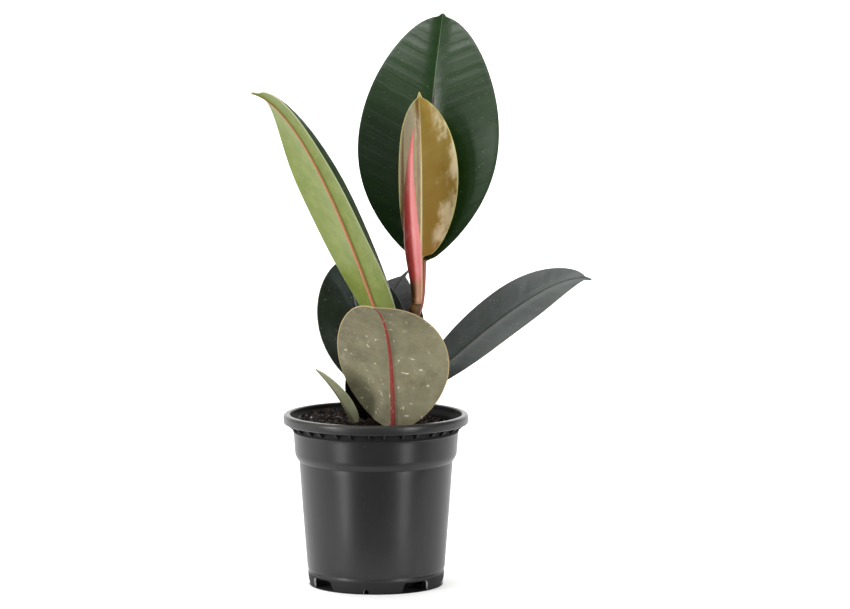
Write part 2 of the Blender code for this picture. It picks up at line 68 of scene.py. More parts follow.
# ---------------------------------------------------------------- pot, as in the CAD
WALL = 1.2
LIP_WIDTH = 4.5
LIP_DEPTH = 6.0
LIP_ROUND = 1.2
RECESS_IN = 6.6
RECESS_DEPTH = 11.0
COLLAR_LENGTH = 16.5
COLLAR_TAPER = 1.0
STEP_IN = 2.7
STEP_DROP = 3.3
BODY_TAPER = 5.2
FOOT_HEIGHT = 8.6
FOOT_TOE_IN = 2.0
FLOOR_CLEARANCE = 1.0
FLOOR_FLAT_RADIUS = 30.0
GUTTER_RADIUS = 36.0
RIB_SPREAD = radians(4.9)
RIB_START = radians(-89.0)
RIB_THICKNESS = 0.8
NOTCH_COUNT = 4
NOTCH_HEIGHT = 7.0
NOTCH_HALF_ANGLE = radians(13.0)
NOTCH_START = radians(-53.0)
CRACK_HEIGHT = 3.0
CRACK_WIDTH = 3.4
DRAIN_RADIUS = 2.0
DRAIN_CIRCLE = 39.4
DRAIN_SPREAD = radians(8.0)
NOTCH_CORNER = 2.4
CUT_INWARD = 5.5             # how far the foot's cutters reach to each side of its wall
CUT_OUTWARD = 5.0

INNER_WALL_EDGE = (0.0562, 0.0552)    # radii in metres between outside and inside the wall, where the inner wall's painted shade begins
FLOOR_SHADE_EDGE = (0.0424, 0.0442)   # radii in metres where the painted shade on the floor under the pot ends

# ---------------------------------------------------------------- soil, as in the CAD
SOIL_DROP = 7.2
SOIL_TILT_X = -0.045
SOIL_TILT_Y = 0.030
SOIL_DISH = 1.3
SOIL_DISH_RADIUS = 24.0
SOIL_LUMP = 0.45
SOIL_HOLLOW = (11.5, -17.0)
SOIL_HOLLOW_DEPTH = 3.2
SOIL_HOLLOW_RADIUS = 15.0
SOIL_GAP = 0.3

# ---------------------------------------------------------------- bits on the soil
STEM_CLEARING = 6.5          # no crumbs this near to the stem's axis
PERLITE_GRAINS = (           # x, y and width
    (-31.0, -30.0, 2.6), (-19.0, 34.0, 1.8), (30.0, 22.0, 2.2), (4.0, -44.0, 1.4),
    (38.0, -18.0, 1.7), (-42.0, 8.0, 1.5))
STRAW_FOOT = (-22.5, -33.0)
STRAW_REACH = (3.9, 2.0, 3.4)
STRAW_BOW = (0.3, 0.0, 0.6)
STRAW_RADII = (0.25, 0.33, 0.34, 0.32, 0.3, 0.27, 0.24, 0.2, 0.08)

# ---------------------------------------------------------------- plant, as in the CAD
PLANT_X = 12.0
PLANT_Y = 0.0
STEM_HEIGHT = 80.0
STEM_LEAN = (14.0, -6.0)
SHEATH_LEAVE = 12.0
SHEATH_BEND = (-9.2, -6.5, 70.0)
SHEATH_TIP = (-1.3, -3.0)
SHEATH_WIDEST = 0.34
DRIP_WIDTH = 0.05
TIP_WIDTH = 0.012
RIB_SINK = 0.35

# ---------------------------------------------------------------- how fine the leaves are
BLADE_ROWS = 116
STALK_ROWS = 16
MIDRIB_COLUMNS = (0.0, 0.25, 0.5, 0.72, 0.9, 1.05, 1.25, 1.5)     # in midrib radii
MIDDLE_COLUMNS = 15
MARGIN_COLUMNS = (1.0, 0.7, 0.35, 0.1, 0.0)      # in widths of the rounded margin
MARGIN = 0.7                 # width of the rounded margin
JOIN = 0.022                 # share of the blade in which the stalk widens into it
GROOVE_DEPTH = 0.42
VEIN_SLOPE = 0.45            # how far a side vein runs forward for each step outwards


def tone(red, green, blue):
    """A display colour, 0 to 255, as the linear values that a shader takes."""
    shares = (value / 255.0 for value in (red, green, blue))
    return tuple(s / 12.92 if s <= 0.04045 else ((s + 0.055) / 1.055) ** 2.4 for s in shares)


@dataclass
class Leaf:
    """One leaf.  The foot is measured from its node, bend and tip from the foot."""
    name: str
    finish: str
    node: float
    foot: tuple
    bend: tuple
    tip: tuple
    face: tuple
    half_width: float
    fold: float
    curl: tuple
    widest: float
    roundness: tuple
    drip: float
    stalk_radius: float
    wave: float = 0.5            # how far the margin waves up and down
    roll: tuple = (0.0, 0.0)     # extra turn of the left and the right margin
    valley: float = 0.0          # extra tilt of the blade beside the midrib, in radians


LEAVES = (
    Leaf("leaf_tall", "glossy", STEM_HEIGHT - 8.0, (6.4, 16.3, 32.0), (2.0, 10.5, 84.5),
         (12.5, 33.0, 159.7), (-0.25, -0.95, 0.1), 47.5, 0.02, (0.05, 0.1), 0.94,
         (0.76, 0.53), 0.015, 1.5, 0.45, valley=0.2),
    Leaf("leaf_young", "young", STEM_HEIGHT - 3.0, (3.7, 11.6, 30.7), (1.2, 8.0, 61.0),
         (-1.2, 4.0, 107.2), (0.25, -0.97, 0.0), 26.9, 0.37, (0.74, 0.70), 0.95,
         (0.55, 0.63), 0.04, 1.3, 0.3),
    Leaf("leaf_left", "arching", 38.0, (-7.9, 5.0, 6.0), (-52.0, -30.5, 166.5),
         (-89.8, -27.4, 173.0), (0.4, 0.23, 0.81), 46.9, 0.23, (-0.72, -0.5), 0.82,
         (0.75, 0.6), 0.06, 1.8, 0.35, (-0.75, 0.0)),
    Leaf("leaf_left_dark", "dusty", 11.0, (-6.5, 9.8, 3.8), (-21.9, 13.0, 47.7),
         (-27.3, 36.0, 92.4), (0.11, -0.9, 0.42), 30.5, 0.19, (0.27, 0.25), 1.0,
         (0.75, 0.57), 0.05, 1.6),
    Leaf("leaf_back", "shaded", 6.0, (-1.6, 17.5, 4.8), (-18.9, 25.9, 54.0),
         (9.9, 55.0, 82.0), (-0.29, -0.45, 0.83), 30.5, 0.06, (0.1, 0.08), 0.94,
         (0.76, 0.75), 0.07, 1.6),
    Leaf("leaf_front", "worn", 0.6, (-0.7, -15.0, -2.6), (0.6, -14.6, 80.2),
         (-12.9, -60.0, 87.1), (0.29, 0.81, 0.51), 37.7, 0.23, (-0.12, -0.25), 0.72,
         (0.82, 0.78), 0.06, 1.7, 0.4),
    Leaf("leaf_right", "dusty", 18.0, (9.5, -1.8, 2.2), (87.6, 2.8, 83.0),
         (114.7, -1.0, 74.5), (-0.19, -0.38, 0.9), 28.6, 0.02, (0.11, 0.06), 0.79,
         (0.78, 0.76), 0.068, 1.8, 0.4, valley=0.12),
)
SOIL_LEAVES = (
    Leaf("leaf_low", "shaded", 0.0, (-17.0, 12.0, 1.8), (-7.0, -13.0, 20.0),
         (-9.6, -16.0, 43.0), (0.2, -0.95, -0.1), 9.6, 0.12, (0.1, 0.1), 1.0,
         (0.5, 0.7), 0.06, 1.1, 0.1),
    Leaf("leaf_small", "pale", 0.0, (-26.3, -4.0, 2.4), (-9.3, -19.2, 22.5),
         (-24.3, -17.3, 37.0), (0.7, 0.24, 0.62), 11.2, 0.2, (0.19, 0.24), 0.85,
         (0.46, 0.67), 0.04, 1.1, 0.15),
)
STALK_BURIED = 8.0


# ================================================================ panel properties
class PotLook(bpy.types.PropertyGroup):
    """Sizes and colours of the pot."""
    lip_radius: FloatProperty(
        name="Lip radius", description="Outside radius of the lip",
        default=(POT_HIGH.x - POT_LOW.x) / 2, subtype="DISTANCE", unit="LENGTH")
    height: FloatProperty(
        name="Height", description="From the ground to the top of the lip",
        default=POT_HIGH.z, subtype="DISTANCE", unit="LENGTH")
    segments: IntProperty(
        name="Segments", description="Faces round the pot", default=180, min=24)
    gusset_pairs: IntProperty(
        name="Gusset pairs", description="Pairs of gussets under the lip", default=16, min=1)
    plastic: FloatVectorProperty(
        name="Plastic", description="Colour of the moulded plastic",
        default=tone(30, 30, 31), subtype="COLOR", min=0.0, max=1.0)
    dust: FloatVectorProperty(
        name="Dust", description="Colour of dust and scuffs on the plastic",
        default=tone(150, 146, 138), subtype="COLOR", min=0.0, max=1.0)


class SoilLook(bpy.types.PropertyGroup):
    """Sizes and colours of the soil."""
    crumb_size: FloatProperty(
        name="Crumb size", description="Mean width of a crumb of bark or peat",
        default=0.0021, subtype="DISTANCE", unit="LENGTH")
    crumb_density: FloatProperty(
        name="Crumb density", description="Crumbs on each square metre of soil",
        default=300000.0)
    fibre_density: FloatProperty(
        name="Fibre density", description="Fibres on each square metre of soil",
        default=26000.0)
    seed: IntProperty(name="Seed", description="Changes how the crumbs lie", default=7)
    peat: FloatVectorProperty(
        name="Peat", description="Colour of wet peat", default=tone(20, 15, 12),
        subtype="COLOR", min=0.0, max=1.0)
    bark: FloatVectorProperty(
        name="Bark", description="Colour of the lighter bark", default=tone(70, 50, 36),
        subtype="COLOR", min=0.0, max=1.0)
    fibre: FloatVectorProperty(
        name="Fibre", description="Colour of the dry fibres", default=tone(140, 116, 84),
        subtype="COLOR", min=0.0, max=1.0)
    perlite: FloatVectorProperty(
        name="Perlite", description="Colour of the white grains", default=tone(226, 226, 228),
        subtype="COLOR", min=0.0, max=1.0)
    moss: FloatVectorProperty(
        name="Moss", description="Colour of the green bits", default=tone(96, 108, 48),
        subtype="COLOR", min=0.0, max=1.0)


class PlantLook(bpy.types.PropertyGroup):
    """Sizes of the stem, the sheath and the leaves."""
    stem_foot_radius: FloatProperty(
        name="Stem foot radius", description="Radius of the stem at the soil",
        default=0.0046, subtype="DISTANCE", unit="LENGTH")
    stem_top_radius: FloatProperty(
        name="Stem top radius", description="Radius of the stem under the sheath",
        default=0.0035, subtype="DISTANCE", unit="LENGTH")
    sheath_height: FloatProperty(
        name="Sheath height", description="Height of the bud sheath",
        default=0.113, subtype="DISTANCE", unit="LENGTH")
    sheath_radius: FloatProperty(
        name="Sheath radius", description="Radius of the sheath at its widest",
        default=0.0056, subtype="DISTANCE", unit="LENGTH")
    blade_thickness: FloatProperty(
        name="Blade thickness", description="Thickness of a leaf's blade",
        default=0.00064, subtype="DISTANCE", unit="LENGTH")
    vein_spacing: FloatProperty(
        name="Vein spacing", description="Between two of a leaf's side veins",
        default=0.0052, subtype="DISTANCE", unit="LENGTH")
    bark: FloatVectorProperty(
        name="Stem bark", description="Colour of the stem", default=tone(104, 84, 44),
        subtype="COLOR", min=0.0, max=1.0)
    sheath_pink: FloatVectorProperty(
        name="Sheath pink", description="Lit side of the sheath", default=tone(246, 150, 148),
        subtype="COLOR", min=0.0, max=1.0)
    # deep red of the sheath's darker side, partly its own colour and partly painted shade
    sheath_shaded_red: FloatVectorProperty(
        name="Sheath red", description="Deep red of the sheath", default=tone(198, 72, 66),
        subtype="COLOR", min=0.0, max=1.0)


class StageLook(bpy.types.PropertyGroup):
    """Camera, lights and floor."""
    camera_distance: FloatProperty(
        name="Camera distance", description="In front of the pot's axis",
        default=3.0, subtype="DISTANCE", unit="LENGTH")
    camera_height: FloatProperty(
        name="Camera height", description="Above the ground",
        default=0.538, subtype="DISTANCE", unit="LENGTH")
    camera_side: FloatProperty(
        name="Camera side", description="To the right of the pot's axis",
        default=0.03175, subtype="DISTANCE", unit="LENGTH")
    camera_pitch: FloatProperty(
        name="Camera pitch", description="How far the camera looks down",
        default=radians(6.76), subtype="ANGLE", unit="ROTATION")
    camera_lens: FloatProperty(
        name="Focal length", description="In millimetres on a 36 mm sensor", default=198.1)
    backdrop: FloatVectorProperty(
        name="Backdrop", description="Colour of the floor and backdrop",
        default=tone(244, 244, 243), subtype="COLOR", min=0.0, max=1.0)
    light: FloatProperty(
        name="Light", description="Brightness of all the lamps", default=1.0, min=0.0)


# ================================================================ node helpers
class Wire:
    """A node's output socket that takes part in arithmetic; each operator adds its node."""

    def __init__(self, tree, socket):
        self.tree = tree
        self.socket = socket

    def _math(self, operation, first, second=None):
        values = {0: first} if second is None else {0: first, 1: second}
        return self.tree.add("ShaderNodeMath", {"operation": operation}, values)

    def __add__(self, other):
        return self._math("ADD", self, other)

    def __radd__(self, other):
        return self._math("ADD", other, self)

    def __sub__(self, other):
        return self._math("SUBTRACT", self, other)

    def __rsub__(self, other):
        return self._math("SUBTRACT", other, self)

    def __mul__(self, other):
        return self._math("MULTIPLY", self, other)

    def __rmul__(self, other):
        return self._math("MULTIPLY", other, self)

    def __truediv__(self, other):
        return self._math("DIVIDE", self, other)

    def __rtruediv__(self, other):
        return self._math("DIVIDE", other, self)

    def __mod__(self, other):
        return self._math("MODULO", self, other)

    def __lt__(self, other):
        return self._math("LESS_THAN", self, other)

    def __abs__(self):
        return self._math("ABSOLUTE", self)

    def sine(self):
        return self._math("SINE", self)

    def cosine(self):
        return self._math("COSINE", self)

    def floored(self):
        return self._math("FLOOR", self)

    def zigzag(self):
        """Rises from 0 to 1 and falls back, again and again."""
        return self._math("PINGPONG", self, 1.0)


class Tree:
    """A node tree being built, for a material or for geometry."""

    def __init__(self, nodes_tree):
        self.tree = nodes_tree

    def add(self, kind, settings=None, values=None, out=0):
        """Add a node: its settings first, then its sockets; return one of its outputs."""
        node = self.tree.nodes.new(kind)
        for key, setting in (settings or {}).items():
            if key == "stops":
                self._set_stops(node.color_ramp, setting)
            else:
                setattr(node, key, setting)
        for key, value in (values or {}).items():
            self.join(node.inputs[key], value)
        return Wire(self, node.outputs[out]) if len(node.outputs) else node

    def join(self, socket, value):
        """Give a socket a value, or a link from a wire or from each of several wires."""
        for item in value if isinstance(value, list) else [value]:
            if isinstance(item, Wire):
                self.tree.links.new(item.socket, socket)
            else:
                socket.default_value = item

    @staticmethod
    def _set_stops(ramp, stops):
        while len(ramp.elements) < len(stops):
            ramp.elements.new(1.0)
        for element, (place, colour) in zip(ramp.elements, stops):
            element.position = place
            element.color = (*colour, 1.0)

    def split(self, vector):
        """The X, Y and Z of a vector."""
        node = self.tree.nodes.new("ShaderNodeSeparateXYZ")
        self.join(node.inputs[0], vector)
        return [Wire(self, output) for output in node.outputs]

    def vector(self, x, y, z):
        return self.add("ShaderNodeCombineXYZ", {}, {0: x, 1: y, 2: z})

    def ease(self, value, low, high):
        """0 below low, 1 above high and smooth between them.  low may be the greater."""
        settings = {"interpolation_type": "SMOOTHSTEP"}
        if low > high:
            return 1.0 - self.add("ShaderNodeMapRange", settings,
                                  {"Value": value, "From Min": high, "From Max": low})
        return self.add("ShaderNodeMapRange", settings,
                        {"Value": value, "From Min": low, "From Max": high})


class Paint(Tree):
    """The node tree of a material, with its Principled shader."""

    def __init__(self, name, **constants):
        self.material = bpy.data.materials.new(name)
        self.material.use_nodes = True
        super().__init__(self.material.node_tree)
        self.shader = self.tree.nodes["Principled BSDF"]
        for socket, value in constants.items():
            self.shader.inputs[socket.replace("_", " ")].default_value = value

    def set(self, socket, value):
        self.join(self.shader.inputs[socket], value)

    def place(self):
        """Object coordinates, in metres."""
        node = self.tree.nodes.new("ShaderNodeTexCoord")
        return Wire(self, node.outputs["Object"])

    def attribute(self, name, out="Vector"):
        return self.add("ShaderNodeAttribute", {"attribute_name": name}, {}, out)

    def stretched(self, vector, x, y, z):
        """A vector with each part scaled."""
        return self.add("ShaderNodeVectorMath", {"operation": "MULTIPLY"},
                        {0: vector, 1: (x, y, z)})

    def cloud(self, vector, scale, detail=3.0, roughness=0.55, distortion=0.0):
        """Smooth noise, 0 to 1."""
        return self.add("ShaderNodeTexNoise", {},
                        {"Vector": vector, "Scale": scale, "Detail": detail,
                         "Roughness": roughness, "Distortion": distortion})

    def grains(self, vector, scale, size, share):
        """Small round spots: size is a spot's radius in cells, share how many cells have one."""
        cell = {"Vector": vector, "Scale": scale}
        near = self.add("ShaderNodeTexVoronoi", {}, cell, "Distance")
        picked = self.add("ShaderNodeTexVoronoi", {}, cell, "Color")
        red = self.add("ShaderNodeSeparateColor", {}, {0: picked})
        return self.ease(near, size, size * 0.4) * (red < share)

    def scratches(self, vector, scale, width, share):
        """Short pieces of thin wandering lines."""
        line = abs(self.cloud(vector, scale, 1.5, 0.4, 0.3) - 0.5)
        patch = self.cloud(vector, scale * 4.6, 2.0, 0.6)
        return self.ease(line, width, 0.0) * self.ease(patch, 1.0 - share, 1.08 - share)

    def mix(self, first, second, factor):
        """A colour between two colours."""
        colours = [c if isinstance(c, Wire) else (*c, 1.0) for c in (first, second)]
        node = self.tree.nodes.new("ShaderNodeMix")
        node.data_type = "RGBA"
        self.join(node.inputs["Factor"], factor)
        self.join(node.inputs[6], colours[0])
        self.join(node.inputs[7], colours[1])
        return Wire(self, node.outputs[2])

    def bump(self, height, strength, distance):
        """Raise the surface: the distance in metres is for a height of 1."""
        self.set("Normal", self.add("ShaderNodeBump", {}, {
            "Strength": strength, "Distance": distance, "Height": height}))


class Shape(Tree):
    """A geometry node tree with named inputs, run once on an object."""

    def __init__(self, name):
        group = bpy.data.node_groups.new(name, "GeometryNodeTree")
        super().__init__(group)
        group.interface.new_socket("Geometry", in_out="INPUT", socket_type="NodeSocketGeometry")
        group.interface.new_socket("Geometry", in_out="OUTPUT",
                                   socket_type="NodeSocketGeometry")
        self.keys = {}
        self.start = group.nodes.new("NodeGroupInput")

    def ask(self, name, kind="Float"):
        """A named input of the tree, as a wire."""
        item = self.tree.interface.new_socket(name, in_out="INPUT",
                                              socket_type="NodeSocket" + kind)
        self.keys[name] = item.identifier
        return Wire(self, self.start.outputs[name])

    def geometry(self):
        return Wire(self, self.start.outputs["Geometry"])

    def done(self, geometry, material):
        """End the tree: instances become real faces with their material."""
        real = self.add("GeometryNodeRealizeInstances", {}, {0: geometry})
        painted = self.add("GeometryNodeSetMaterial", {}, {"Geometry": real,
                                                           "Material": material})
        end = self.tree.nodes.new("NodeGroupOutput")
        self.join(end.inputs[0], painted)

    def random(self, low, high, seed):
        """A random number for each point, or a random vector if low is one."""
        if isinstance(low, tuple):
            return self.add("FunctionNodeRandomValue", {"data_type": "FLOAT_VECTOR"},
                            {0: low, 1: high, "Seed": seed})
        return self.add("FunctionNodeRandomValue", {"data_type": "FLOAT"},
                        {2: low, 3: high, "Seed": seed}, 1)

    def strewn_points(self, ground, density, seed):
        """Points strewn over a surface, each with a random tone."""
        points = self.add("GeometryNodeDistributePointsOnFaces", {}, {
            "Mesh": ground, "Density": density, "Seed": seed})
        return self.add("GeometryNodeStoreNamedAttribute", {
            "data_type": "FLOAT", "domain": "POINT"}, {
            "Geometry": points, "Name": "crumb_tone",
            "Value": self.random(0.0, 1.0, seed + 4)})

    def run(self, obj, **inputs):
        """Put the tree on an object, set its inputs and keep the result as a plain mesh."""
        modifier = obj.modifiers.new("Shape", "NODES")
        modifier.node_group = self.tree
        for name, value in inputs.items():
            modifier[self.keys[name.replace("_", " ").capitalize()]] = value
        bake(obj)
        return obj


# ================================================================ mesh helpers
def bake(obj):
    """Replace an object's mesh by what its modifiers make of it."""
    bpy.context.view_layer.update()
    evaluated = obj.evaluated_get(bpy.context.evaluated_depsgraph_get())
    mesh = bpy.data.meshes.new_from_object(evaluated)
    mesh.name = obj.name
    obj.modifiers.clear()
    obj.data = mesh


def new_object(name, mesh, material=None):
    """An object at the origin, in the scene."""
    obj = bpy.data.objects.new(name, mesh)
    bpy.context.scene.collection.objects.link(obj)
    if material:
        mesh.materials.append(material)
    return obj


def mesh_of(name, points, edges=(), faces=()):
    """A mesh from points in millimetres."""
    mesh = bpy.data.meshes.new(name)
    mesh.from_pydata([tuple(Vector(p) * MM) for p in points], list(edges), list(faces))
    return mesh


def shade_round(obj, angle=40.0):
    """Smooth shading that keeps edges sharper than the angle."""
    obj.data.shade_smooth()
    obj.data.set_sharp_from_angle(angle=radians(angle))


def tidy(mesh, distance=MERGE_DISTANCE):
    """Merge doubles, drop what has no area and turn the faces outwards."""
    work = bmesh.new()
    work.from_mesh(mesh)
    bmesh.ops.remove_doubles(work, verts=work.verts, dist=distance)
    bmesh.ops.dissolve_degenerate(work, edges=work.edges, dist=distance / 4)
    bmesh.ops.recalc_face_normals(work, faces=work.faces)
    work.to_mesh(mesh)
    work.free()


def skin(name, rings, material):
    """A closed mesh over rings of points, each end drawn together at its middle."""
    count, around = len(rings), len(rings[0])
    points = np.concatenate([rings.reshape(-1, 3), [rings[0].mean(0)], [rings[-1].mean(0)]])
    faces = []
    for i in range(count - 1):
        for j in range(around):
            k = (j + 1) % around
            faces.append((i * around + j, i * around + k,
                          (i + 1) * around + k, (i + 1) * around + j))
    first, last = count * around, count * around + 1
    for j in range(around):
        k = (j + 1) % around
        faces.append((first, k, j))
        faces.append((last, (count - 1) * around + j, (count - 1) * around + k))
    mesh = mesh_of(name, points, faces=faces)
    turn_outwards(mesh)
    obj = new_object(name, mesh, material)
    obj.data.shade_smooth()
    return obj


def turn_outwards(mesh):
    """Turn a closed mesh's faces round if its volume comes out negative."""
    work = bmesh.new()
    work.from_mesh(mesh)
    if work.calc_volume(signed=True) < 0:
        bmesh.ops.reverse_faces(work, faces=work.faces)
        work.to_mesh(mesh)
    work.free()


def store(mesh, name, values):
    """Keep a vector for each point of a skin; its two end points take their rings' mean."""
    flat = values.reshape(-1, 3)
    ends = np.array([values[0].mean(0), values[-1].mean(0)])
    data = np.concatenate([flat, ends]).astype(np.float32)
    attribute = mesh.attributes.new(name, "FLOAT_VECTOR", "POINT")
    attribute.data.foreach_set("vector", data.ravel())


def wander(place, scale, seed=0.0):
    """Smooth noise about 0 at a place in millimetres."""
    return noise.noise(Vector(place) * scale + Vector((seed, -seed, 2.0 * seed)))


def ease(value, low, high):
    """Smooth step from 0 at low to 1 at high."""
    share = np.clip((value - low) / (high - low), 0.0, 1.0)
    return share * share * (3.0 - 2.0 * share)


def cubic(p0, p1, p2, p3, t):
    """A point on a cubic curve."""
    return p0 * (1 - t) ** 3 + p1 * 3 * t * (1 - t) ** 2 + p2 * 3 * t * t * (1 - t) + p3 * t ** 3


def keep(obj, slot, *nodes):
    """Fix a finished piece to the plant's one body and hide the CAD nodes it replaces; the slot
    is not used.
    """
    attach(obj, BODY)
    if nodes:
        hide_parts(*nodes)
    return obj


# ================================================================ pot
def arc(centre, radius, start, end, steps):
    """Points on an arc in the profile's plane, angles in degrees."""
    angles = [radians(start + (end - start) * i / steps) for i in range(steps + 1)]
    return [(centre[0] + radius * cos(a), centre[1] + radius * sin(a)) for a in angles]


def softened(points, radius, steps=3):
    """A profile with its corners rounded: each corner becomes a short curve."""
    result = [points[0]]
    for before, corner, after in zip(points, points[1:], points[2:]):
        corner, before, after = Vector(corner), Vector(before), Vector(after)
        back, on = before - corner, after - corner
        reach = min(radius, back.length * 0.45, on.length * 0.45)
        start, end = corner + back.normalized() * reach, corner + on.normalized() * reach
        for i in range(steps + 1):
            t = i / steps
            result.append(tuple(start * (1 - t) ** 2 + corner * 2 * t * (1 - t) + end * t * t))
    return result + [points[-1]]


def pot_levels(look):
    """Radii and heights of the pot's features by name, in millimetres."""
    lip, top = look.lip_radius / MM, look.height / MM
    recess = lip - RECESS_IN
    collar_foot = recess - COLLAR_TAPER
    body_top = collar_foot - STEP_IN
    recess_height = top - RECESS_DEPTH
    collar_height = recess_height - COLLAR_LENGTH
    return {"lip": lip, "top": top, "recess": recess, "collar_foot": collar_foot,
            "body_top": body_top, "body_foot": body_top - BODY_TAPER,
            "recess_z": recess_height, "collar_z": collar_height,
            "body_z": collar_height - STEP_DROP}


def pot_section(at):
    """The pot's whole section: up the inside, over the lip and down the outside."""
    lip, top, recess, foot = at["lip"], at["top"], at["recess"], at["body_foot"]
    lip_inner = lip - LIP_WIDTH
    skirt = lip - WALL
    floor = FLOOR_CLEARANCE + WALL
    inside = [
        (0.0, floor),
        (FLOOR_FLAT_RADIUS - WALL / 2, floor),
        (GUTTER_RADIUS - WALL / 2, FOOT_HEIGHT + WALL / 2),
        (foot - WALL, FOOT_HEIGHT + WALL / 2),
        (at["body_top"] - WALL, at["body_z"]),
        (at["collar_foot"] - WALL, at["collar_z"] + WALL),
        (recess - WALL, at["recess_z"]),
        (recess - WALL, top - LIP_DEPTH),
        (lip_inner, top - 2.2 * LIP_ROUND),
    ]
    crown = arc((lip_inner + LIP_ROUND, top - LIP_ROUND), LIP_ROUND, 170, 90, 5)
    crown += arc((lip - 1.6 * LIP_ROUND, top - 1.6 * LIP_ROUND), 1.6 * LIP_ROUND, 88, 0, 6)
    under = [
        (lip, top - LIP_DEPTH + 0.6),
        (lip - 0.5, top - LIP_DEPTH),
        (skirt, top - LIP_DEPTH - WALL / 3),
        (skirt - WALL / 2, top - 2.2 * WALL),
        (lip_inner + WALL, top - 2.2 * WALL),
        (recess + WALL / 4, top - LIP_DEPTH),
        (recess - WALL / 4, at["recess_z"] + WALL),
        (recess, at["recess_z"] + WALL / 3),
    ]
    collar = [
        (recess + 0.35, at["recess_z"] - 0.2),
        (recess + 0.1, at["recess_z"] - 0.9),
        (recess - 0.05, at["recess_z"] - 2.0),
        (at["collar_foot"] + 0.1, at["collar_z"] + 2.0),
        (at["collar_foot"] - 0.4, at["collar_z"] + 0.2),
        (at["body_top"] + 0.9, at["body_z"] + 1.1),
        (at["body_top"] - 0.1, at["body_z"] + 0.1),
        (at["body_top"] - 0.05, at["body_z"] - 1.2),
    ]
    lower = [
        (foot + 0.1, FOOT_HEIGHT + 3.4),
        (foot - 0.15, FOOT_HEIGHT + 2.2),
        (foot - 0.75, FOOT_HEIGHT + 1.4),
        (foot - 0.35, FOOT_HEIGHT + 0.7),
        (foot - 0.3, FOOT_HEIGHT - 0.6),
        (foot - 0.6, FOOT_HEIGHT / 2),
        (foot - FOOT_TOE_IN + 0.4, 0.5),
        (foot - FOOT_TOE_IN - 0.1, 0.0),
        (foot - FOOT_TOE_IN - WALL, 0.0),
        (foot - 0.9 - WALL, FOOT_HEIGHT / 2),
        (foot - 0.6 - WALL, FOOT_HEIGHT - WALL / 2),
        (GUTTER_RADIUS, FOOT_HEIGHT - WALL / 2),
        (FLOOR_FLAT_RADIUS, FLOOR_CLEARANCE),
        (0.0, FLOOR_CLEARANCE),
    ]
    return softened(inside, 1.6) + crown + softened(under, 0.35, 2) \
        + softened(collar, 0.8) + spaced_wall(at, foot) + softened(lower, 0.5, 2)


def spaced_wall(at, foot):
    """Points down the plain side of the pot, with the slight barrel of a moulded wall."""
    top, low = (at["body_top"] - 0.05, at["body_z"] - 1.2), (foot + 0.1, FOOT_HEIGHT + 3.4)
    points = []
    for i in range(1, 16):
        share = i / 16
        barrel = 0.12 * sin(pi * share)
        points.append((top[0] + (low[0] - top[0]) * share + barrel,
                       top[1] + (low[1] - top[1]) * share))
    return points


def turning_tree():
    """A tree that turns a profile, drawn in the XZ plane, once about Z."""
    shape = Shape("turned_profile")
    profile = shape.geometry()
    segments = shape.ask("Segments", "Int")
    material = shape.ask("Material", "Material")
    count = shape.add("GeometryNodeAttributeDomainSize", {}, {0: profile})
    grid = shape.add("GeometryNodeMeshGrid", {}, {
        "Vertices X": segments + 1, "Vertices Y": count})
    index = shape.add("GeometryNodeInputIndex")
    place = shape.add("GeometryNodeInputPosition")
    point = shape.add("GeometryNodeSampleIndex", {"data_type": "FLOAT_VECTOR"}, {
        "Geometry": profile, "Value": place, "Index": index % count})
    radius, _, height = shape.split(point)
    angle = (index / count).floored() * (2 * pi) / segments
    moved = shape.add("GeometryNodeSetPosition", {}, {
        "Geometry": grid,
        "Position": shape.vector(radius * angle.cosine(), radius * angle.sine(), height)})
    closed = shape.add("GeometryNodeMergeByDistance", {}, {
        "Geometry": moved, "Distance": MERGE_DISTANCE})
    shape.done(closed, material)
    return shape


def gusset_tree():
    """A tree that stands copies of one gusset in pairs round the pot."""
    shape = Shape("gusset_pairs")
    gusset = shape.geometry()
    pairs = shape.ask("Pairs", "Int")
    spread = shape.ask("Spread")
    material = shape.ask("Material", "Material")
    points = shape.add("GeometryNodePoints", {}, {"Count": pairs * 2})
    index = shape.add("GeometryNodeInputIndex")
    pair = (index / 2).floored()
    side = (index % 2) * 2 - 1
    angle = pair / pairs * (2 * pi) + RIB_START + side * spread
    turn = shape.add("FunctionNodeEulerToRotation", {}, {0: shape.vector(0.0, 0.0, angle)})
    placed = shape.add("GeometryNodeInstanceOnPoints", {}, {
        "Points": points, "Instance": gusset, "Rotation": turn})
    shape.done(placed, material)
    return shape


def gusset_mesh(at):
    """One gusset under the lip, at angle 0, with its outer corners taken off."""
    low, lip = at["recess_z"] + 0.9, at["top"] - LIP_DEPTH
    top, skirt = at["top"] - 1.5 * WALL, at["lip"] - WALL / 2
    recess = at["recess"]
    outline = [(recess - WALL / 2, low), (recess + 0.5, low), (recess + 1.3, low + 0.5),
               (skirt - 0.6, lip - 0.2), (skirt, lip + 0.4), (skirt, top),
               (at["lip"] - LIP_WIDTH + WALL / 2, top), (recess - WALL / 2, lip)]
    half = RIB_THICKNESS / 2
    return prism("gusset", [(r, side * half, z) for side in (-1, 1) for r, z in outline])


def prism(name, points):
    """A closed mesh between two outlines, the first half of the points and the second."""
    count = len(points) // 2
    faces = [tuple(range(count)), tuple(range(2 * count - 1, count - 1, -1))]
    faces += [(i, i + count, (i + 1) % count + count, (i + 1) % count) for i in range(count)]
    mesh = mesh_of(name, points, faces=faces)
    tidy(mesh)
    return mesh


def extruded_cutter(name, outline, inner, outer, angle):
    """A cutter with an outline across the wall, from one radius to another."""
    out = Vector((cos(angle), sin(angle), 0.0))
    across = Vector((-sin(angle), cos(angle), 0.0))
    up = Vector((0.0, 0.0, 1.0))
    points = [out * r + across * x + up * z for r in (inner, outer) for x, z in outline]
    return new_object(name, prism(name, points))


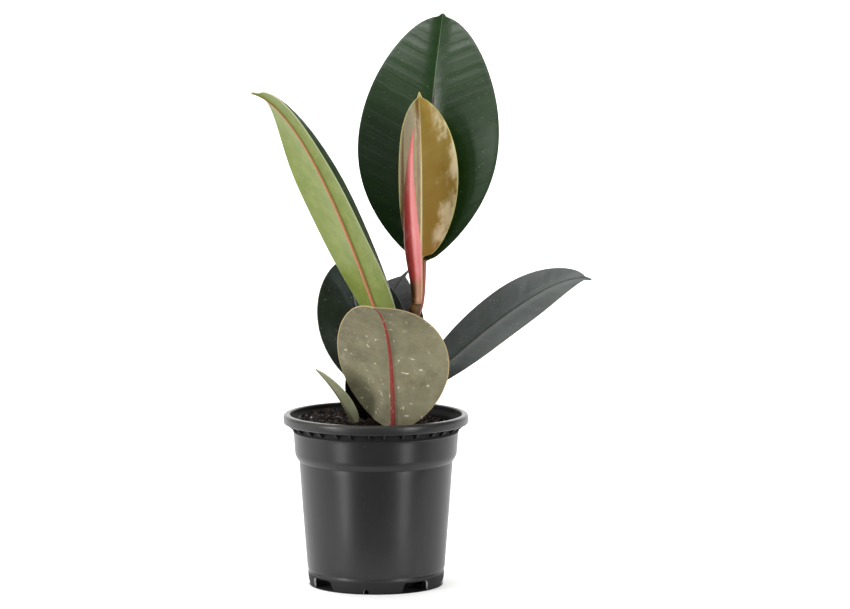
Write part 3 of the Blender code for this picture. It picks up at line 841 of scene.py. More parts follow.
def notch_outline(half_width, height):
    """A notch with leaning sides and rounded upper corners, open at the ground."""
    corner = NOTCH_CORNER
    right = [(half_width + 2.2, -3.0), (half_width + 2.2, 0.0), (half_width + 0.6, 1.2)]
    right += arc((half_width - corner, height - corner), corner, 0, 90, 5)
    left = [(-x, z) for x, z in right[::-1]]
    return right + left


def cut_foot(pot, at):
    """Cut the foot ring's notches, its small cracks and the drain holes."""
    foot = at["body_foot"]
    inner, outer = foot - CUT_INWARD, foot + CUT_OUTWARD
    half = (foot - FOOT_TOE_IN) * sin(NOTCH_HALF_ANGLE)
    crack = [(CRACK_WIDTH / 2, -3.0), (CRACK_WIDTH / 2, 1.2), (CRACK_WIDTH / 4, CRACK_HEIGHT),
             (-CRACK_WIDTH / 4, CRACK_HEIGHT), (-CRACK_WIDTH / 2, 1.2), (-CRACK_WIDTH / 2, -3.0)]
    cutters = []
    for i in range(NOTCH_COUNT):
        angle = NOTCH_START + 2 * pi * i / NOTCH_COUNT
        cutters.append(extruded_cutter("notch", notch_outline(half, NOTCH_HEIGHT),
                                       inner, outer, angle))
        cutters.append(extruded_cutter("crack", crack, inner, outer,
                                       angle + pi / NOTCH_COUNT))
        for side in (-1, 1):
            cutters.append(drain_cutter(angle + side * DRAIN_SPREAD))
    for cutter in cutters:
        modifier = pot.modifiers.new("Cut", "BOOLEAN")
        modifier.object = cutter
        modifier.operation = "DIFFERENCE"
        modifier.solver = "EXACT"
    bake(pot)
    for cutter in cutters:
        bpy.data.objects.remove(cutter, do_unlink=True)


def drain_cutter(angle):
    """A round cutter through the raised part of the floor."""
    centre = Vector((DRAIN_CIRCLE * cos(angle), DRAIN_CIRCLE * sin(angle), 0.0))
    rings = []
    for height in (FOOT_HEIGHT - 4.0, FOOT_HEIGHT + 4.0):
        ring = [centre + Vector((DRAIN_RADIUS * cos(a), DRAIN_RADIUS * sin(a), height))
                for a in np.linspace(0, 2 * pi, 24, endpoint=False)]
        rings.append([tuple(p) for p in ring])
    return skin("drain", np.array(rings), None)


def plastic_material(look):
    """Semi-matt black plastic with dust, scuffs and fine scratches, and painted shade on the
    inner wall and the foot ring.
    """
    paint = Paint("black_plastic", IOR=1.49, Specular_IOR_Level=0.34)
    place = paint.place()
    x, y, z = paint.split(place)
    drift = paint.cloud(place, 18.0, 4.0)
    grain = paint.cloud(place, 900.0, 2.0)
    specks = paint.grains(place, 280.0, 0.09, 0.10)
    fine_specks = paint.grains(place, 750.0, 0.14, 0.10)
    lines = paint.scratches(paint.stretched(place, 1.0, 1.0, 0.6), 60.0, 0.005, 0.36)
    rim = paint.ease(z, 0.104, 0.112)
    crumbs = paint.ease(paint.cloud(place, 420.0, 3.0, 0.7), 0.60, 0.72) * rim
    base = paint.mix(look.plastic, tuple(c * 1.4 for c in look.plastic), drift)
    base = paint.mix(base, look.dust, paint.ease(drift, 0.45, 0.9) * 0.03 + rim * 0.04)
    base = paint.mix(base, look.dust, lines * 0.14)
    base = paint.mix(base, look.dust, specks * 0.32 + fine_specks * 0.2)
    base = paint.mix(base, tone(60, 42, 28), crumbs * 0.5)
    # painted shade: the inner wall above the soil and the foot ring are darkened, and made
    # rougher so they hardly shine
    outer, inner = (radius * radius for radius in INNER_WALL_EDGE)
    inside = paint.ease(x * x + y * y, outer, inner) * paint.ease(z, 0.1000, 0.1004)
    foot = paint.ease(z, 0.0095, 0.0070)
    painted_shade_mask = inside * 0.9 + foot * 0.75
    base = paint.mix(base, tone(9, 9, 9), painted_shade_mask)
    paint.set("Base Color", base)
    paint.set("Roughness", 0.26 + drift * 0.08 + grain * 0.05 + lines * 0.1 + specks * 0.3
              + painted_shade_mask * 0.5)
    paint.bump(grain * 0.5 + drift * 0.4 - lines * 0.4 + specks * 0.3, 0.35, 0.00012)
    return paint.material


def make_pot(look):
    """The pot and its gussets."""
    at = pot_levels(look)
    plastic = plastic_material(look)
    section = [(r, 0.0, z) for r, z in pot_section(at)]
    links = [(i, i + 1) for i in range(len(section) - 1)]
    pot = new_object("nursery_pot", mesh_of("nursery_pot", section, links))
    turning_tree().run(pot, segments=look.segments, material=plastic)
    tidy(pot.data)
    cut_foot(pot, at)
    shade_round(pot, 42.0)
    keep(pot, "black_plastic", "pot")
    gussets = new_object("pot_gussets", gusset_mesh(at))
    gusset_tree().run(gussets, pairs=look.gusset_pairs, spread=RIB_SPREAD, material=plastic)
    shade_round(gussets, 30.0)
    keep(gussets, "black_plastic", "pot")


# ================================================================ soil
def soil_level(at):
    """Mean height of the soil."""
    return at["top"] - SOIL_DROP


def soil_height(at, x, y):
    """Height of the lumpy soil surface at a place in the pot."""
    from_plant = hypot(x - PLANT_X, y - PLANT_Y) / SOIL_DISH_RADIUS
    from_hollow = hypot(x - SOIL_HOLLOW[0], y - SOIL_HOLLOW[1]) / SOIL_HOLLOW_RADIUS
    dish = SOIL_DISH * exp(-from_plant ** 2) + SOIL_HOLLOW_DEPTH * exp(-from_hollow ** 2)
    lumps = sin(0.31 * x + 0.9) * sin(0.27 * y) + 0.7 * sin(0.52 * x - 0.4 * y + 2.0)
    return soil_level(at) + SOIL_TILT_X * x + SOIL_TILT_Y * y - dish + SOIL_LUMP * lumps


def rough_height(at, x, y):
    """The soil surface with its crumbs' unevenness."""
    place = Vector((x, y, 0.0))
    return soil_height(at, x, y) + 1.1 * wander(place, 0.22, 3.0) \
        + 0.8 * wander(place, 0.55, 5.0) + 0.4 * wander(place, 1.3, 8.0)


def build_soil_bed(at, material):
    """The root ball: a finely lumpy top, and a side and floor that follow the pot."""
    around, rings_count = 150, 46
    level = soil_level(at)
    edge = at["recess"] - WALL - SOIL_GAP
    rings = []
    angles = np.linspace(0, 2 * pi, around, endpoint=False)
    for i in range(1, rings_count + 1):
        radius = edge * i / rings_count
        places = [(radius * cos(a), radius * sin(a)) for a in angles]
        rings.append([(x, y, rough_height(at, x, y)) for x, y in places])
    side = [(edge, level - 6.0), (at["collar_foot"] - WALL - SOIL_GAP, at["collar_z"] + WALL),
            (at["body_top"] - WALL - SOIL_GAP, at["body_z"]),
            (at["body_foot"] - WALL - SOIL_GAP, FOOT_HEIGHT + WALL / 2 + SOIL_GAP),
            (GUTTER_RADIUS - WALL, FOOT_HEIGHT + WALL / 2 + SOIL_GAP),
            (FLOOR_FLAT_RADIUS - WALL, FLOOR_CLEARANCE + WALL + SOIL_GAP),
            (1.0, FLOOR_CLEARANCE + WALL + SOIL_GAP)]
    rings += [[(r * cos(a), r * sin(a), z) for a in angles] for r, z in side]
    return skin("soil_bed", np.array(rings), material)


def crumb_tree():
    """A tree that strews knobbly crumbs over a surface; each crumb keeps a random tone."""
    shape = Shape("soil_crumbs")
    ground = shape.geometry()
    density, size = shape.ask("Density"), shape.ask("Size")
    seed, material = shape.ask("Seed", "Int"), shape.ask("Material", "Material")
    kinds = []
    for kind in range(7):
        ball = shape.add("GeometryNodeMeshIcoSphere", {}, {"Radius": 0.5, "Subdivisions": 2})
        place = shape.add("GeometryNodeInputPosition")
        bulge = shape.add("ShaderNodeTexNoise", {"noise_dimensions": "4D"}, {
            "Vector": place, "W": kind * 5.3, "Scale": 2.3, "Detail": 1.0}, "Color")
        push = shape.add("ShaderNodeVectorMath", {"operation": "SUBTRACT"}, {
            0: bulge, 1: (0.5, 0.5, 0.5)})
        offset = shape.add("ShaderNodeVectorMath", {"operation": "MULTIPLY"}, {
            0: push, 1: (1.5, 1.5, 1.2)})
        kinds.append(shape.add("GeometryNodeSetPosition", {}, {
            "Geometry": ball, "Offset": offset}))
    variety = shape.add("GeometryNodeGeometryToInstance", {}, {0: kinds})
    points = shape.strewn_points(ground, density, seed)
    turn = shape.random((0.0, 0.0, 0.0), (2 * pi, 2 * pi, 2 * pi), seed + 1)
    small = shape.random(0.0, 1.0, seed + 2)
    flat = shape.random((0.7, 0.5, 0.35), (1.5, 1.0, 0.8), seed + 3)
    width = size * (0.4 + small * small * small * 1.6)
    scale = shape.add("ShaderNodeVectorMath", {"operation": "SCALE"}, {0: flat, "Scale": width})
    strewn = shape.add("GeometryNodeInstanceOnPoints", {}, {
        "Points": points, "Instance": variety, "Pick Instance": True,
        "Rotation": shape.add("FunctionNodeEulerToRotation", {}, {0: turn}), "Scale": scale})
    shape.done(strewn, material)
    return shape


def fibre_tree():
    """A tree that strews short bent fibres over a surface."""
    shape = Shape("soil_fibres")
    ground = shape.geometry()
    density, length = shape.ask("Density"), shape.ask("Length")
    seed, material = shape.ask("Seed", "Int"), shape.ask("Material", "Material")
    line = shape.add("GeometryNodeCurvePrimitiveBezierSegment", {"mode": "POSITION"}, {
        "Resolution": 7, "Start": (-0.5, 0.0, 0.0), "Start Handle": (-0.15, 0.22, 0.14),
        "End Handle": (0.2, -0.2, 0.2), "End": (0.5, 0.05, -0.03)})
    section = shape.add("GeometryNodeCurvePrimitiveCircle", {}, {
        "Resolution": 5, "Radius": 0.045})
    strand = shape.add("GeometryNodeCurveToMesh", {}, {
        "Curve": line, "Profile Curve": section, "Fill Caps": True})
    points = shape.strewn_points(ground, density, seed)
    turn = shape.random((-0.5, -0.5, 0.0), (0.5, 0.5, 2 * pi), seed + 1)
    size = shape.random(0.35, 1.3, seed + 2)
    strewn = shape.add("GeometryNodeInstanceOnPoints", {}, {
        "Points": points, "Instance": strand,
        "Rotation": shape.add("FunctionNodeEulerToRotation", {}, {0: turn}),
        "Scale": size * length})
    shape.done(strewn, material)
    return shape


def soil_patch(at, name):
    """The part of the soil's top that crumbs lie on, clear of the stem."""
    around, rings_count = 60, 16
    edge = at["recess"] - WALL - 1.6
    points, faces = [], []
    for i in range(rings_count + 1):
        radius = edge * (0.02 + 0.98 * i / rings_count)
        for j in range(around):
            x, y = radius * cos(2 * pi * j / around), radius * sin(2 * pi * j / around)
            points.append((x, y, rough_height(at, x, y) + 0.15))
    for i in range(rings_count):
        for j in range(around):
            k = (j + 1) % around
            faces.append((i * around + j, (i + 1) * around + j,
                          (i + 1) * around + k, i * around + k))
    clear = [hypot(x - PLANT_X, y - PLANT_Y) > STEM_CLEARING for x, y, _ in points]
    faces = [face for face in faces if all(clear[corner] for corner in face)]
    return new_object(name, mesh_of(name, points, faces=faces))


def soil_material(name, dark, light, roughness=0.85):
    """Peat or bark: mottled, with each crumb its own tone."""
    paint = Paint(name, IOR=1.4)
    place = paint.place()
    own = paint.attribute("crumb_tone", "Fac")
    blotch = paint.cloud(place, 160.0, 4.0, 0.65)
    grain = paint.cloud(place, 1500.0, 3.0, 0.6)
    share = paint.ease(own, 0.45, 1.0) * 0.75 + paint.ease(blotch, 0.45, 0.8) * 0.35
    base = paint.mix(dark, light, share * (0.45 + grain * 0.8))
    base = paint.mix(base, (0.004, 0.003, 0.003), paint.ease(grain, 0.55, 0.3) * 0.6)
    paint.set("Base Color", base)
    paint.set("Roughness", roughness - paint.ease(own, 0.15, 0.0) * 0.3 + grain * 0.1)
    paint.bump(grain + blotch, 0.8, 0.0004)
    return paint.material


def pebble(name, place, size, seed, material):
    """One knobbly grain at a place."""
    rings = []
    for i in range(1, 10):
        lift = pi * i / 10
        ring = []
        for j in range(14):
            turn = 2 * pi * j / 14
            out = Vector((sin(lift) * cos(turn), sin(lift) * sin(turn), cos(lift)))
            reach = 1.0 + 0.5 * wander(out, 1.7, seed) + 0.25 * wander(out, 4.1, seed)
            ring.append(tuple(Vector(place) + out * reach * size / 2))
        rings.append(ring)
    return skin(name, np.array(rings), material)


def strand(name, points, radii, material, sides=8):
    """A thin tube through points that tapers at its ends."""
    places = [Vector(p) for p in points]
    rings, side = [], None
    for i, (place, radius) in enumerate(zip(places, radii)):
        along = (places[min(i + 1, len(places) - 1)] - places[max(i - 1, 0)]).normalized()
        side = side or along.orthogonal().normalized()
        side = (side - along * side.dot(along)).normalized()
        other = along.cross(side)
        rings.append([tuple(place + (side * cos(a) + other * sin(a)) * radius)
                      for a in np.linspace(0, 2 * pi, sides, endpoint=False)])
    return skin(name, np.array(rings), material)


def make_soil(look, pot_look):
    """The root ball with crumbs, fibres, white grains, moss bits and a straw."""
    at = pot_levels(pot_look)
    peat = soil_material("wet_peat", look.peat, look.bark)
    dry = soil_material("dry_fibre", look.bark, look.fibre, 0.8)
    white = soil_material("perlite", tuple(0.6 * c for c in look.perlite), look.perlite)
    green = soil_material("moss", tuple(0.4 * c for c in look.moss), look.moss)
    keep(build_soil_bed(at, peat), "soil", "potting_soil")
    crumbs = crumb_tree()
    pile = soil_patch(at, "soil_crumbs")
    crumbs.run(pile, density=look.crumb_density, size=look.crumb_size, seed=look.seed,
               material=peat)
    keep(pile, "soil", "potting_soil")
    bits = soil_patch(at, "moss_bits")
    crumbs.run(bits, density=look.fibre_density * 0.22, size=look.crumb_size * 0.55,
               seed=look.seed + 20, material=green)
    keep(bits, "soil", "potting_soil")
    fibres = soil_patch(at, "soil_fibres")
    fibre_tree().run(fibres, density=look.fibre_density, length=0.0042, seed=look.seed + 40,
                     material=dry)
    keep(fibres, "soil", "potting_soil")
    for i, (x, y, size) in enumerate(PERLITE_GRAINS):
        place = (x, y, rough_height(at, x, y) + size * 0.35)
        keep(pebble(f"perlite_grain_{i + 1}", place, size, i + 0.5, white), "soil",
             "potting_soil")
    foot = Vector((*STRAW_FOOT, rough_height(at, *STRAW_FOOT) + 0.2))
    steps = [foot + Vector(STRAW_REACH) * t + Vector(STRAW_BOW) * sin(pi * t)
             for t in np.linspace(0, 1, len(STRAW_RADII))]
    straw = strand("straw", steps, STRAW_RADII, dry)
    keep(straw, "soil", "potting_soil")


# ================================================================ stem and sheath
def stem_axis(at, height):
    """A point on the stem's axis at a height above the soil."""
    share = height / STEM_HEIGHT
    return Vector((PLANT_X + STEM_LEAN[0] * share, PLANT_Y + STEM_LEAN[1] * share,
                   soil_level(at) + height))


def stem_radius(look, height):
    """The stem's radius, which narrows upwards."""
    foot, top = look.stem_foot_radius / MM, look.stem_top_radius / MM
    return foot + (top - foot) * max(height, 0.0) / STEM_HEIGHT


def stem_direction():
    """The way the stem points."""
    return Vector((*STEM_LEAN, STEM_HEIGHT)).normalized()


def ring_about(centre, along, radius_at, sides):
    """A ring of points about a direction; radius_at gives the radius at each angle."""
    front = Vector((0.0, -1.0, 0.0))
    front = (front - along * front.dot(along)).normalized()
    right = along.cross(front)
    ring = []
    for angle in np.linspace(0, 2 * pi, sides, endpoint=False):
        out = front * cos(angle) + right * sin(angle)
        ring.append(tuple(centre + out * radius_at(angle)))
    return ring


def stem_finish(look):
    """Olive-brown bark with fine cracks and pale scars."""
    paint = Paint("stem_bark", IOR=1.42)
    place = paint.place()
    band, height, _ = paint.split(paint.attribute("stem_map"))
    streak = paint.cloud(paint.stretched(place, 1.0, 1.0, 0.12), 900.0, 3.0)
    blotch = paint.cloud(place, 220.0, 3.0)
    dots = paint.grains(place, 700.0, 0.22, 0.25)
    base = paint.mix(look.bark, tone(58, 48, 26), paint.ease(streak, 0.4, 0.75))
    base = paint.mix(base, tone(126, 116, 52), paint.ease(blotch, 0.5, 0.75) * 0.6)
    base = paint.mix(base, tone(120, 60, 44), paint.ease(height, 60.0, 84.0) * 0.35)
    base = paint.mix(base, tone(70, 44, 26), band)
    base = paint.mix(base, tone(168, 150, 112), dots * 0.6)
    paint.set("Base Color", base)
    paint.set("Roughness", 0.45 + streak * 0.2)
    paint.bump(streak * 0.7 + blotch * 0.3 + dots * 0.4, 0.6, 0.0003)
    return paint.material


def build_stem(look, at, material):
    """The stem with its leaf nodes: a ring and a swelling at each."""
    sides = 40
    nodes = sorted(leaf.node for leaf in LEAVES)
    rings, marks = [], []
    for height in np.linspace(-6.0, STEM_HEIGHT, 130):
        swell = sum(0.45 * exp(-((height - n + 1.0) / 2.0) ** 2) for n in nodes)
        groove = sum(exp(-((height - n - 2.2) / 0.35) ** 2) for n in nodes)
        centre = stem_axis(at, height)

        def radius_at(angle):
            rough = 0.16 * wander((cos(angle) * 2, sin(angle) * 2, height * 0.35), 1.0)
            return stem_radius(look, height) + swell + rough - 0.22 * groove
        rings.append(ring_about(centre, stem_direction(), radius_at, sides))
        marks.append([(min(groove, 1.0), height, 0.0)] * sides)
    stem = skin("woody_stem", np.array(rings), material)
    store(stem.data, "stem_map", np.array(marks))
    return keep(stem, "green_stem", "stem")


def sheath_radius(look, share):
    """Narrow at its foot, widest at a third of its height, drawn out to a point."""
    foot, point = 0.6, 0.04
    widest = look.sheath_radius / MM
    if share < SHEATH_WIDEST:
        rise = sin(pi / 2 * share / SHEATH_WIDEST) ** 2
        return widest * (foot + (1 - foot) * rise)
    fall = (share - SHEATH_WIDEST) / (1 - SHEATH_WIDEST)
    return widest * (point + (1 - point) * (1 - min(fall, 1.0) ** 1.2))


def sheath_finish(look):
    """Waxy sheath: deep red on one side of its keel, pink on the other, olive at its foot; the
    red side and the foot's darker side are partly painted shade.
    """
    paint = Paint("sheath_skin", IOR=1.45, Subsurface_Weight=0.12,
                  Subsurface_Radius=(1.0, 0.35, 0.25), Subsurface_Scale=0.0012)
    place = paint.place()
    turn, share, _ = paint.split(paint.attribute("sheath_map"))
    lines = paint.cloud(paint.stretched(place, 1.0, 1.0, 0.05), 1300.0, 3.0)
    blotch = paint.cloud(paint.stretched(place, 1.0, 1.0, 0.4), 260.0, 3.0)
    # partly painted shade: the side turned from the light is deep red, less so towards the tip
    red_and_shaded_side = paint.ease(turn, 0.35, -0.35) * paint.ease(share, 0.95, 0.5)
    red_and_shaded_side = red_and_shaded_side + paint.ease(share, 0.4, 0.0) * 0.25
    base = paint.mix(look.sheath_pink, look.sheath_shaded_red, red_and_shaded_side)
    base = paint.mix(base, tone(206, 84, 84), paint.ease(lines, 0.45, 0.8) * 0.4)
    base = paint.mix(base, tone(247, 176, 180), paint.ease(blotch, 0.5, 0.8) * 0.35)
    base = paint.mix(base, tone(214, 70, 78), paint.ease(share, 0.82, 1.0) * 0.7)
    foot = paint.ease(share + (blotch - 0.5) * 0.03, 0.17, 0.09)
    # the foot is olive, with painted shade on its darker side
    base = paint.mix(base, paint.mix(tone(196, 142, 110), tone(92, 62, 30),
                                     paint.ease(turn, 0.2, -0.5)), foot)
    paint.set("Base Color", base)
    paint.set("Roughness", 0.34 + lines * 0.16)
    paint.bump(lines, 0.35, 0.00016)
    return paint.material


def build_sheath(look, at, material):
    """The pointed sheath round the next leaf, with a keel down its front and a fine seam."""
    sides, steps = 48, 110
    height = look.sheath_height / MM
    base = stem_axis(at, STEM_HEIGHT) - stem_direction() * 0.6
    foot = stem_axis(at, STEM_HEIGHT) + stem_direction() * 0.3
    leave = foot + stem_direction() * SHEATH_LEAVE
    bend = foot + Vector(SHEATH_BEND)
    tip = foot + Vector((*SHEATH_TIP, height))
    spine = [cubic(foot, leave, bend, tip, i / steps) for i in range(steps + 1)]
    rings, marks = [], []
    for i, centre in enumerate(spine):
        along = (spine[min(i + 1, steps)] - spine[max(i - 1, 0)]).normalized()
        share = max((centre.z - foot.z) / height, 0.0)
        size = sheath_radius(look, share)
        keel = 0.07 * sin(pi * min(share * 1.3, 1.0))
        collar = 0.35 * exp(-((share * height - 1.5) / 1.2) ** 2)
        twist = 0.9 * share

        def radius_at(angle):
            ridge = keel * exp(-((angle - pi) / 0.35 if angle > 0 else 0.0) ** 2)
            front = keel * (exp(-(angle / 0.5) ** 2) + exp(-((angle - 2 * pi) / 0.5) ** 2))
            seam = 0.02 * exp(-((angle - 2.0 - twist) / 0.08) ** 2)
            return size * (0.97 + front + ridge - seam) + collar
        rings.append(ring_about(centre if i else base, along, radius_at, sides))
        marks.append([(sin(a), share, 0.0)
                      for a in np.linspace(0, 2 * pi, sides, endpoint=False)])
    sheath = skin("pink_sheath", np.array(rings), material)
    store(sheath.data, "sheath_map", np.array(marks))
    return keep(sheath, "pink_sheath", "bud_sheath")


# ================================================================ leaves
def leaf_points(leaf, at):
    """The leaf's foot, bend and tip in the pot's frame."""
    ground = Vector((PLANT_X, PLANT_Y, soil_level(at)))
    node = stem_axis(at, leaf.node) if leaf.node else ground
    foot = node + Vector(leaf.foot)
    return foot, foot + Vector(leaf.bend), foot + Vector(leaf.tip)


def blade_frame(leaf, at, t):
    """The midrib's point, its direction, and the blade's sideways and upward directions."""
    foot, bend, tip = leaf_points(leaf, at)
    place = foot * (1 - t) ** 2 + bend * 2 * t * (1 - t) + tip * t * t
    along = ((bend - foot) * (1 - t) + (tip - bend) * t).normalized()
    face = Vector(leaf.face)
    up = (face - along * face.dot(along)).normalized()
    return place, along, along.cross(up), up


def blade_width(leaf, t):
    """Half the blade's width in millimetres: a rounded blade with a drip tip."""
    end = 1.0 - leaf.drip
    body = 0.0
    if t < end:
        share = (t / end) ** leaf.widest
        power = leaf.roundness[0] + (leaf.roundness[1] - leaf.roundness[0]) * share
        body = abs(sin(pi * share)) ** power
    drip = DRIP_WIDTH * min((1.0 - t) / leaf.drip, 1.0) ** 0.8 + TIP_WIDTH
    return hypot(body, drip) * leaf.half_width


def half_section(leaf, width, rib, side, t):
    """One half of the blade's section: distances out, then places and turns of the surface."""
    core, edge = min(rib, 0.45 * width), min(MARGIN, 0.3 * width)
    middle = np.linspace(1.5 * core, width - edge, MIDDLE_COLUMNS + 2)[1:-1]
    out = np.concatenate([core * np.array(MIDRIB_COLUMNS), middle,
                          width - edge * np.array(MARGIN_COLUMNS)])
    which = 0 if side < 0 else 1
    rolled = sin(pi * min(max((t - 0.04) / 0.9, 0.0), 1.0)) ** 0.6
    roll_share = ease(out / width, 0.80, 1.0) * rolled
    turn = leaf.fold * np.minimum(out / (1.5 * core), 1.0) \
        + leaf.valley * np.exp(-(out / 6.5) ** 2) \
        + leaf.curl[which] * out / leaf.half_width + leaf.roll[which] * roll_share
    step = np.diff(out)
    across = np.concatenate([[0.0], np.cumsum(step * np.cos((turn[1:] + turn[:-1]) / 2))])
    lift = np.concatenate([[0.0], np.cumsum(step * np.sin((turn[1:] + turn[:-1]) / 2))])
    return out, across * side, lift, turn * side


def blade_section(leaf, look, t, run, seed):
    """The closed section of the blade: points (sideways, upward) and what they map to."""
    width = blade_width(leaf, t)
    rib = leaf.stalk_radius * max(1.0 - 0.78 * t, 0.12)
    left = half_section(leaf, width, rib, -1, t)
    right = half_section(leaf, width, rib, 1, t)
    out = np.concatenate([-left[0][:0:-1], right[0]])
    across = np.concatenate([left[1][:0:-1], right[1]])
    lift = np.concatenate([left[2][:0:-1], right[2]])
    turn = np.concatenate([left[3][:0:-1], right[3]])
    reach = np.abs(out)
    core, edge = min(rib, 0.45 * width), min(MARGIN, 0.3 * width)
    half = look.blade_thickness / MM / 2 * min(1.0, width / 1.2)
    inward = np.clip((reach - (width - edge)) / edge, 0.0, 1.0)
    half = half * np.sqrt(np.maximum(1.0 - inward ** 2, 0.0))
    vein = run - reach * VEIN_SLOPE
    calm = ease(reach, core * 1.5, core * 1.5 + 5.0) * ease(width - reach, 0.0, 5.0)
    ripple = 0.03 * calm * (np.sin(vein * 2 * pi / 7.3 + seed) + np.sin(vein * 2 * pi / 11.9))
    wave = leaf.wave * (reach / leaf.half_width) ** 2 * sin(pi * min(t, 1.0)) \
        * np.sin(run / 13.0 + seed + np.sign(out) * 1.3)
    lift = lift + wave + ripple
    groove = GROOVE_DEPTH * np.exp(-(reach / (core * 0.55)) ** 2) * min(1.0, width / 4.0)
    ridge = (core + RIB_SINK) * np.maximum(1.0 - (reach / (1.15 * core)) ** 2, 0.0) ** 0.6
    upper = np.stack([across - np.sin(turn) * (half - groove),
                      lift + np.cos(turn) * (half - groove)], 1)
    lower = np.stack([across + np.sin(turn) * (half + ridge),
                      lift - np.cos(turn) * (half + ridge)], 1)
    points = np.concatenate([upper, lower[-2:0:-1]])
    back = slice(-2, 0, -1)
    side = np.concatenate([out, out[back]])
    margin = np.concatenate([width - reach, (width - reach)[back]])
    ratio = np.concatenate([reach / core, (reach / core)[back]])
    top = np.concatenate([np.ones(len(out)), np.zeros(len(out) - 2)])
    top[[0, len(out) - 1]] = 0.5
    return points, side, margin, ratio, top


def stalk_section(radius, count):
    """A round section with the same number of points as a blade's section."""
    columns = count // 2 + 1
    top = pi - pi * np.arange(columns) / (columns - 1)
    angles = np.concatenate([top, -pi * np.arange(1, columns - 1) / (columns - 1)])
    return np.stack([radius * np.cos(angles), radius * np.sin(angles) - RIB_SINK], 1)


def stalk_route(leaf, look, at, foot, along):
    """Points of the stalk from the stem, or from the soil, up to the blade's foot."""
    if leaf.node:
        axis = stem_axis(at, leaf.node)
        leave = Vector((foot.x - axis.x, foot.y - axis.y, 0.0)).normalized()
        start = axis + leave * (stem_radius(look, leaf.node) - 1.0)
    else:
        start, leave = foot + Vector((2.0, 1.0, -STALK_BURIED)), Vector((0.0, 0.0, 1.0))
    reach = (foot - start).length
    first, last = start + leave * reach * 0.4, foot - along * reach * 0.4
    return [cubic(start, first, last, foot, i / STALK_ROWS) for i in range(STALK_ROWS)]


def blade_stations():
    """Shares of the blade's length, closer together at both ends."""
    steps = np.linspace(0.0, 1.0, BLADE_ROWS)
    return 0.45 * steps + 0.55 * (1.0 - np.cos(pi * steps)) / 2


def build_leaf(leaf, look, at, material):
    """A leaf grown in one piece: its section changes from round stalk to broad blade."""
    seed = sum(ord(letter) for letter in leaf.name) % 97 / 10.0
    foot, along, right, up = blade_frame(leaf, at, 0.0)
    stalk = stalk_route(leaf, look, at, foot, along)
    count = len(blade_section(leaf, look, 0.5, 0.0, seed)[0])
    frames, last_right, last_up = [], right, up
    for i in range(len(stalk) - 1, -1, -1):
        beyond = stalk[i + 1] if i + 1 < len(stalk) else foot
        way = (beyond - stalk[max(i - 1, 0)]).normalized()
        last_up = (last_up - way * last_up.dot(way)).normalized()
        last_right = way.cross(last_up)
        frames.insert(0, (stalk[i], last_right, last_up))
    rings, maps, trims = [], [], []
    length = sum((b - a).length for a, b in zip(stalk, stalk[1:] + [foot]))
    run = -length
    for i, (place, side_way, up_way) in enumerate(frames):
        swell = 1.0 + 0.35 * exp(-(i / 2.2) ** 2)
        section = stalk_section(leaf.stalk_radius * swell, count)
        rings.append(lay(section, place, side_way, up_way))
        maps.append([(0.0, run, 99.0)] * count)
        trims.append([(0.0, 0.0, -1.0)] * count)
        run += length / len(frames)
    before, run = foot, 0.0
    for t in blade_stations():
        place, _, side_way, up_way = blade_frame(leaf, at, t)
        run += (place - before).length
        before = place
        points, side, margin, ratio, top = blade_section(leaf, look, t, run, seed)
        opened = ease(t, 0.0, JOIN)
        round_points = stalk_section(leaf.stalk_radius, count)
        section = round_points * (1 - opened) + points * opened
        rings.append(lay(section, place, side_way, up_way))
        maps.append(np.stack([side, np.full(count, run), margin + 99.0 * (1 - opened)], 1))
        trims.append(np.stack([top * opened, ratio, np.full(count, t)], 1))
    blade = skin("blade_" + leaf.name[5:], np.array(rings), material)
    store(blade.data, "leaf_map", np.array([np.array(m) for m in maps]))
    store(blade.data, "leaf_trim", np.array([np.array(m) for m in trims]))
    slot = "young_leaf" if leaf.finish == "young" else "dark_leaf"
    return keep(blade, slot, leaf.name)


def lay(section, place, right, up):
    """Put a flat section at a place, as points in space."""
    return np.array(place) + section[:, :1] * np.array(right) + section[:, 1:] * np.array(up)


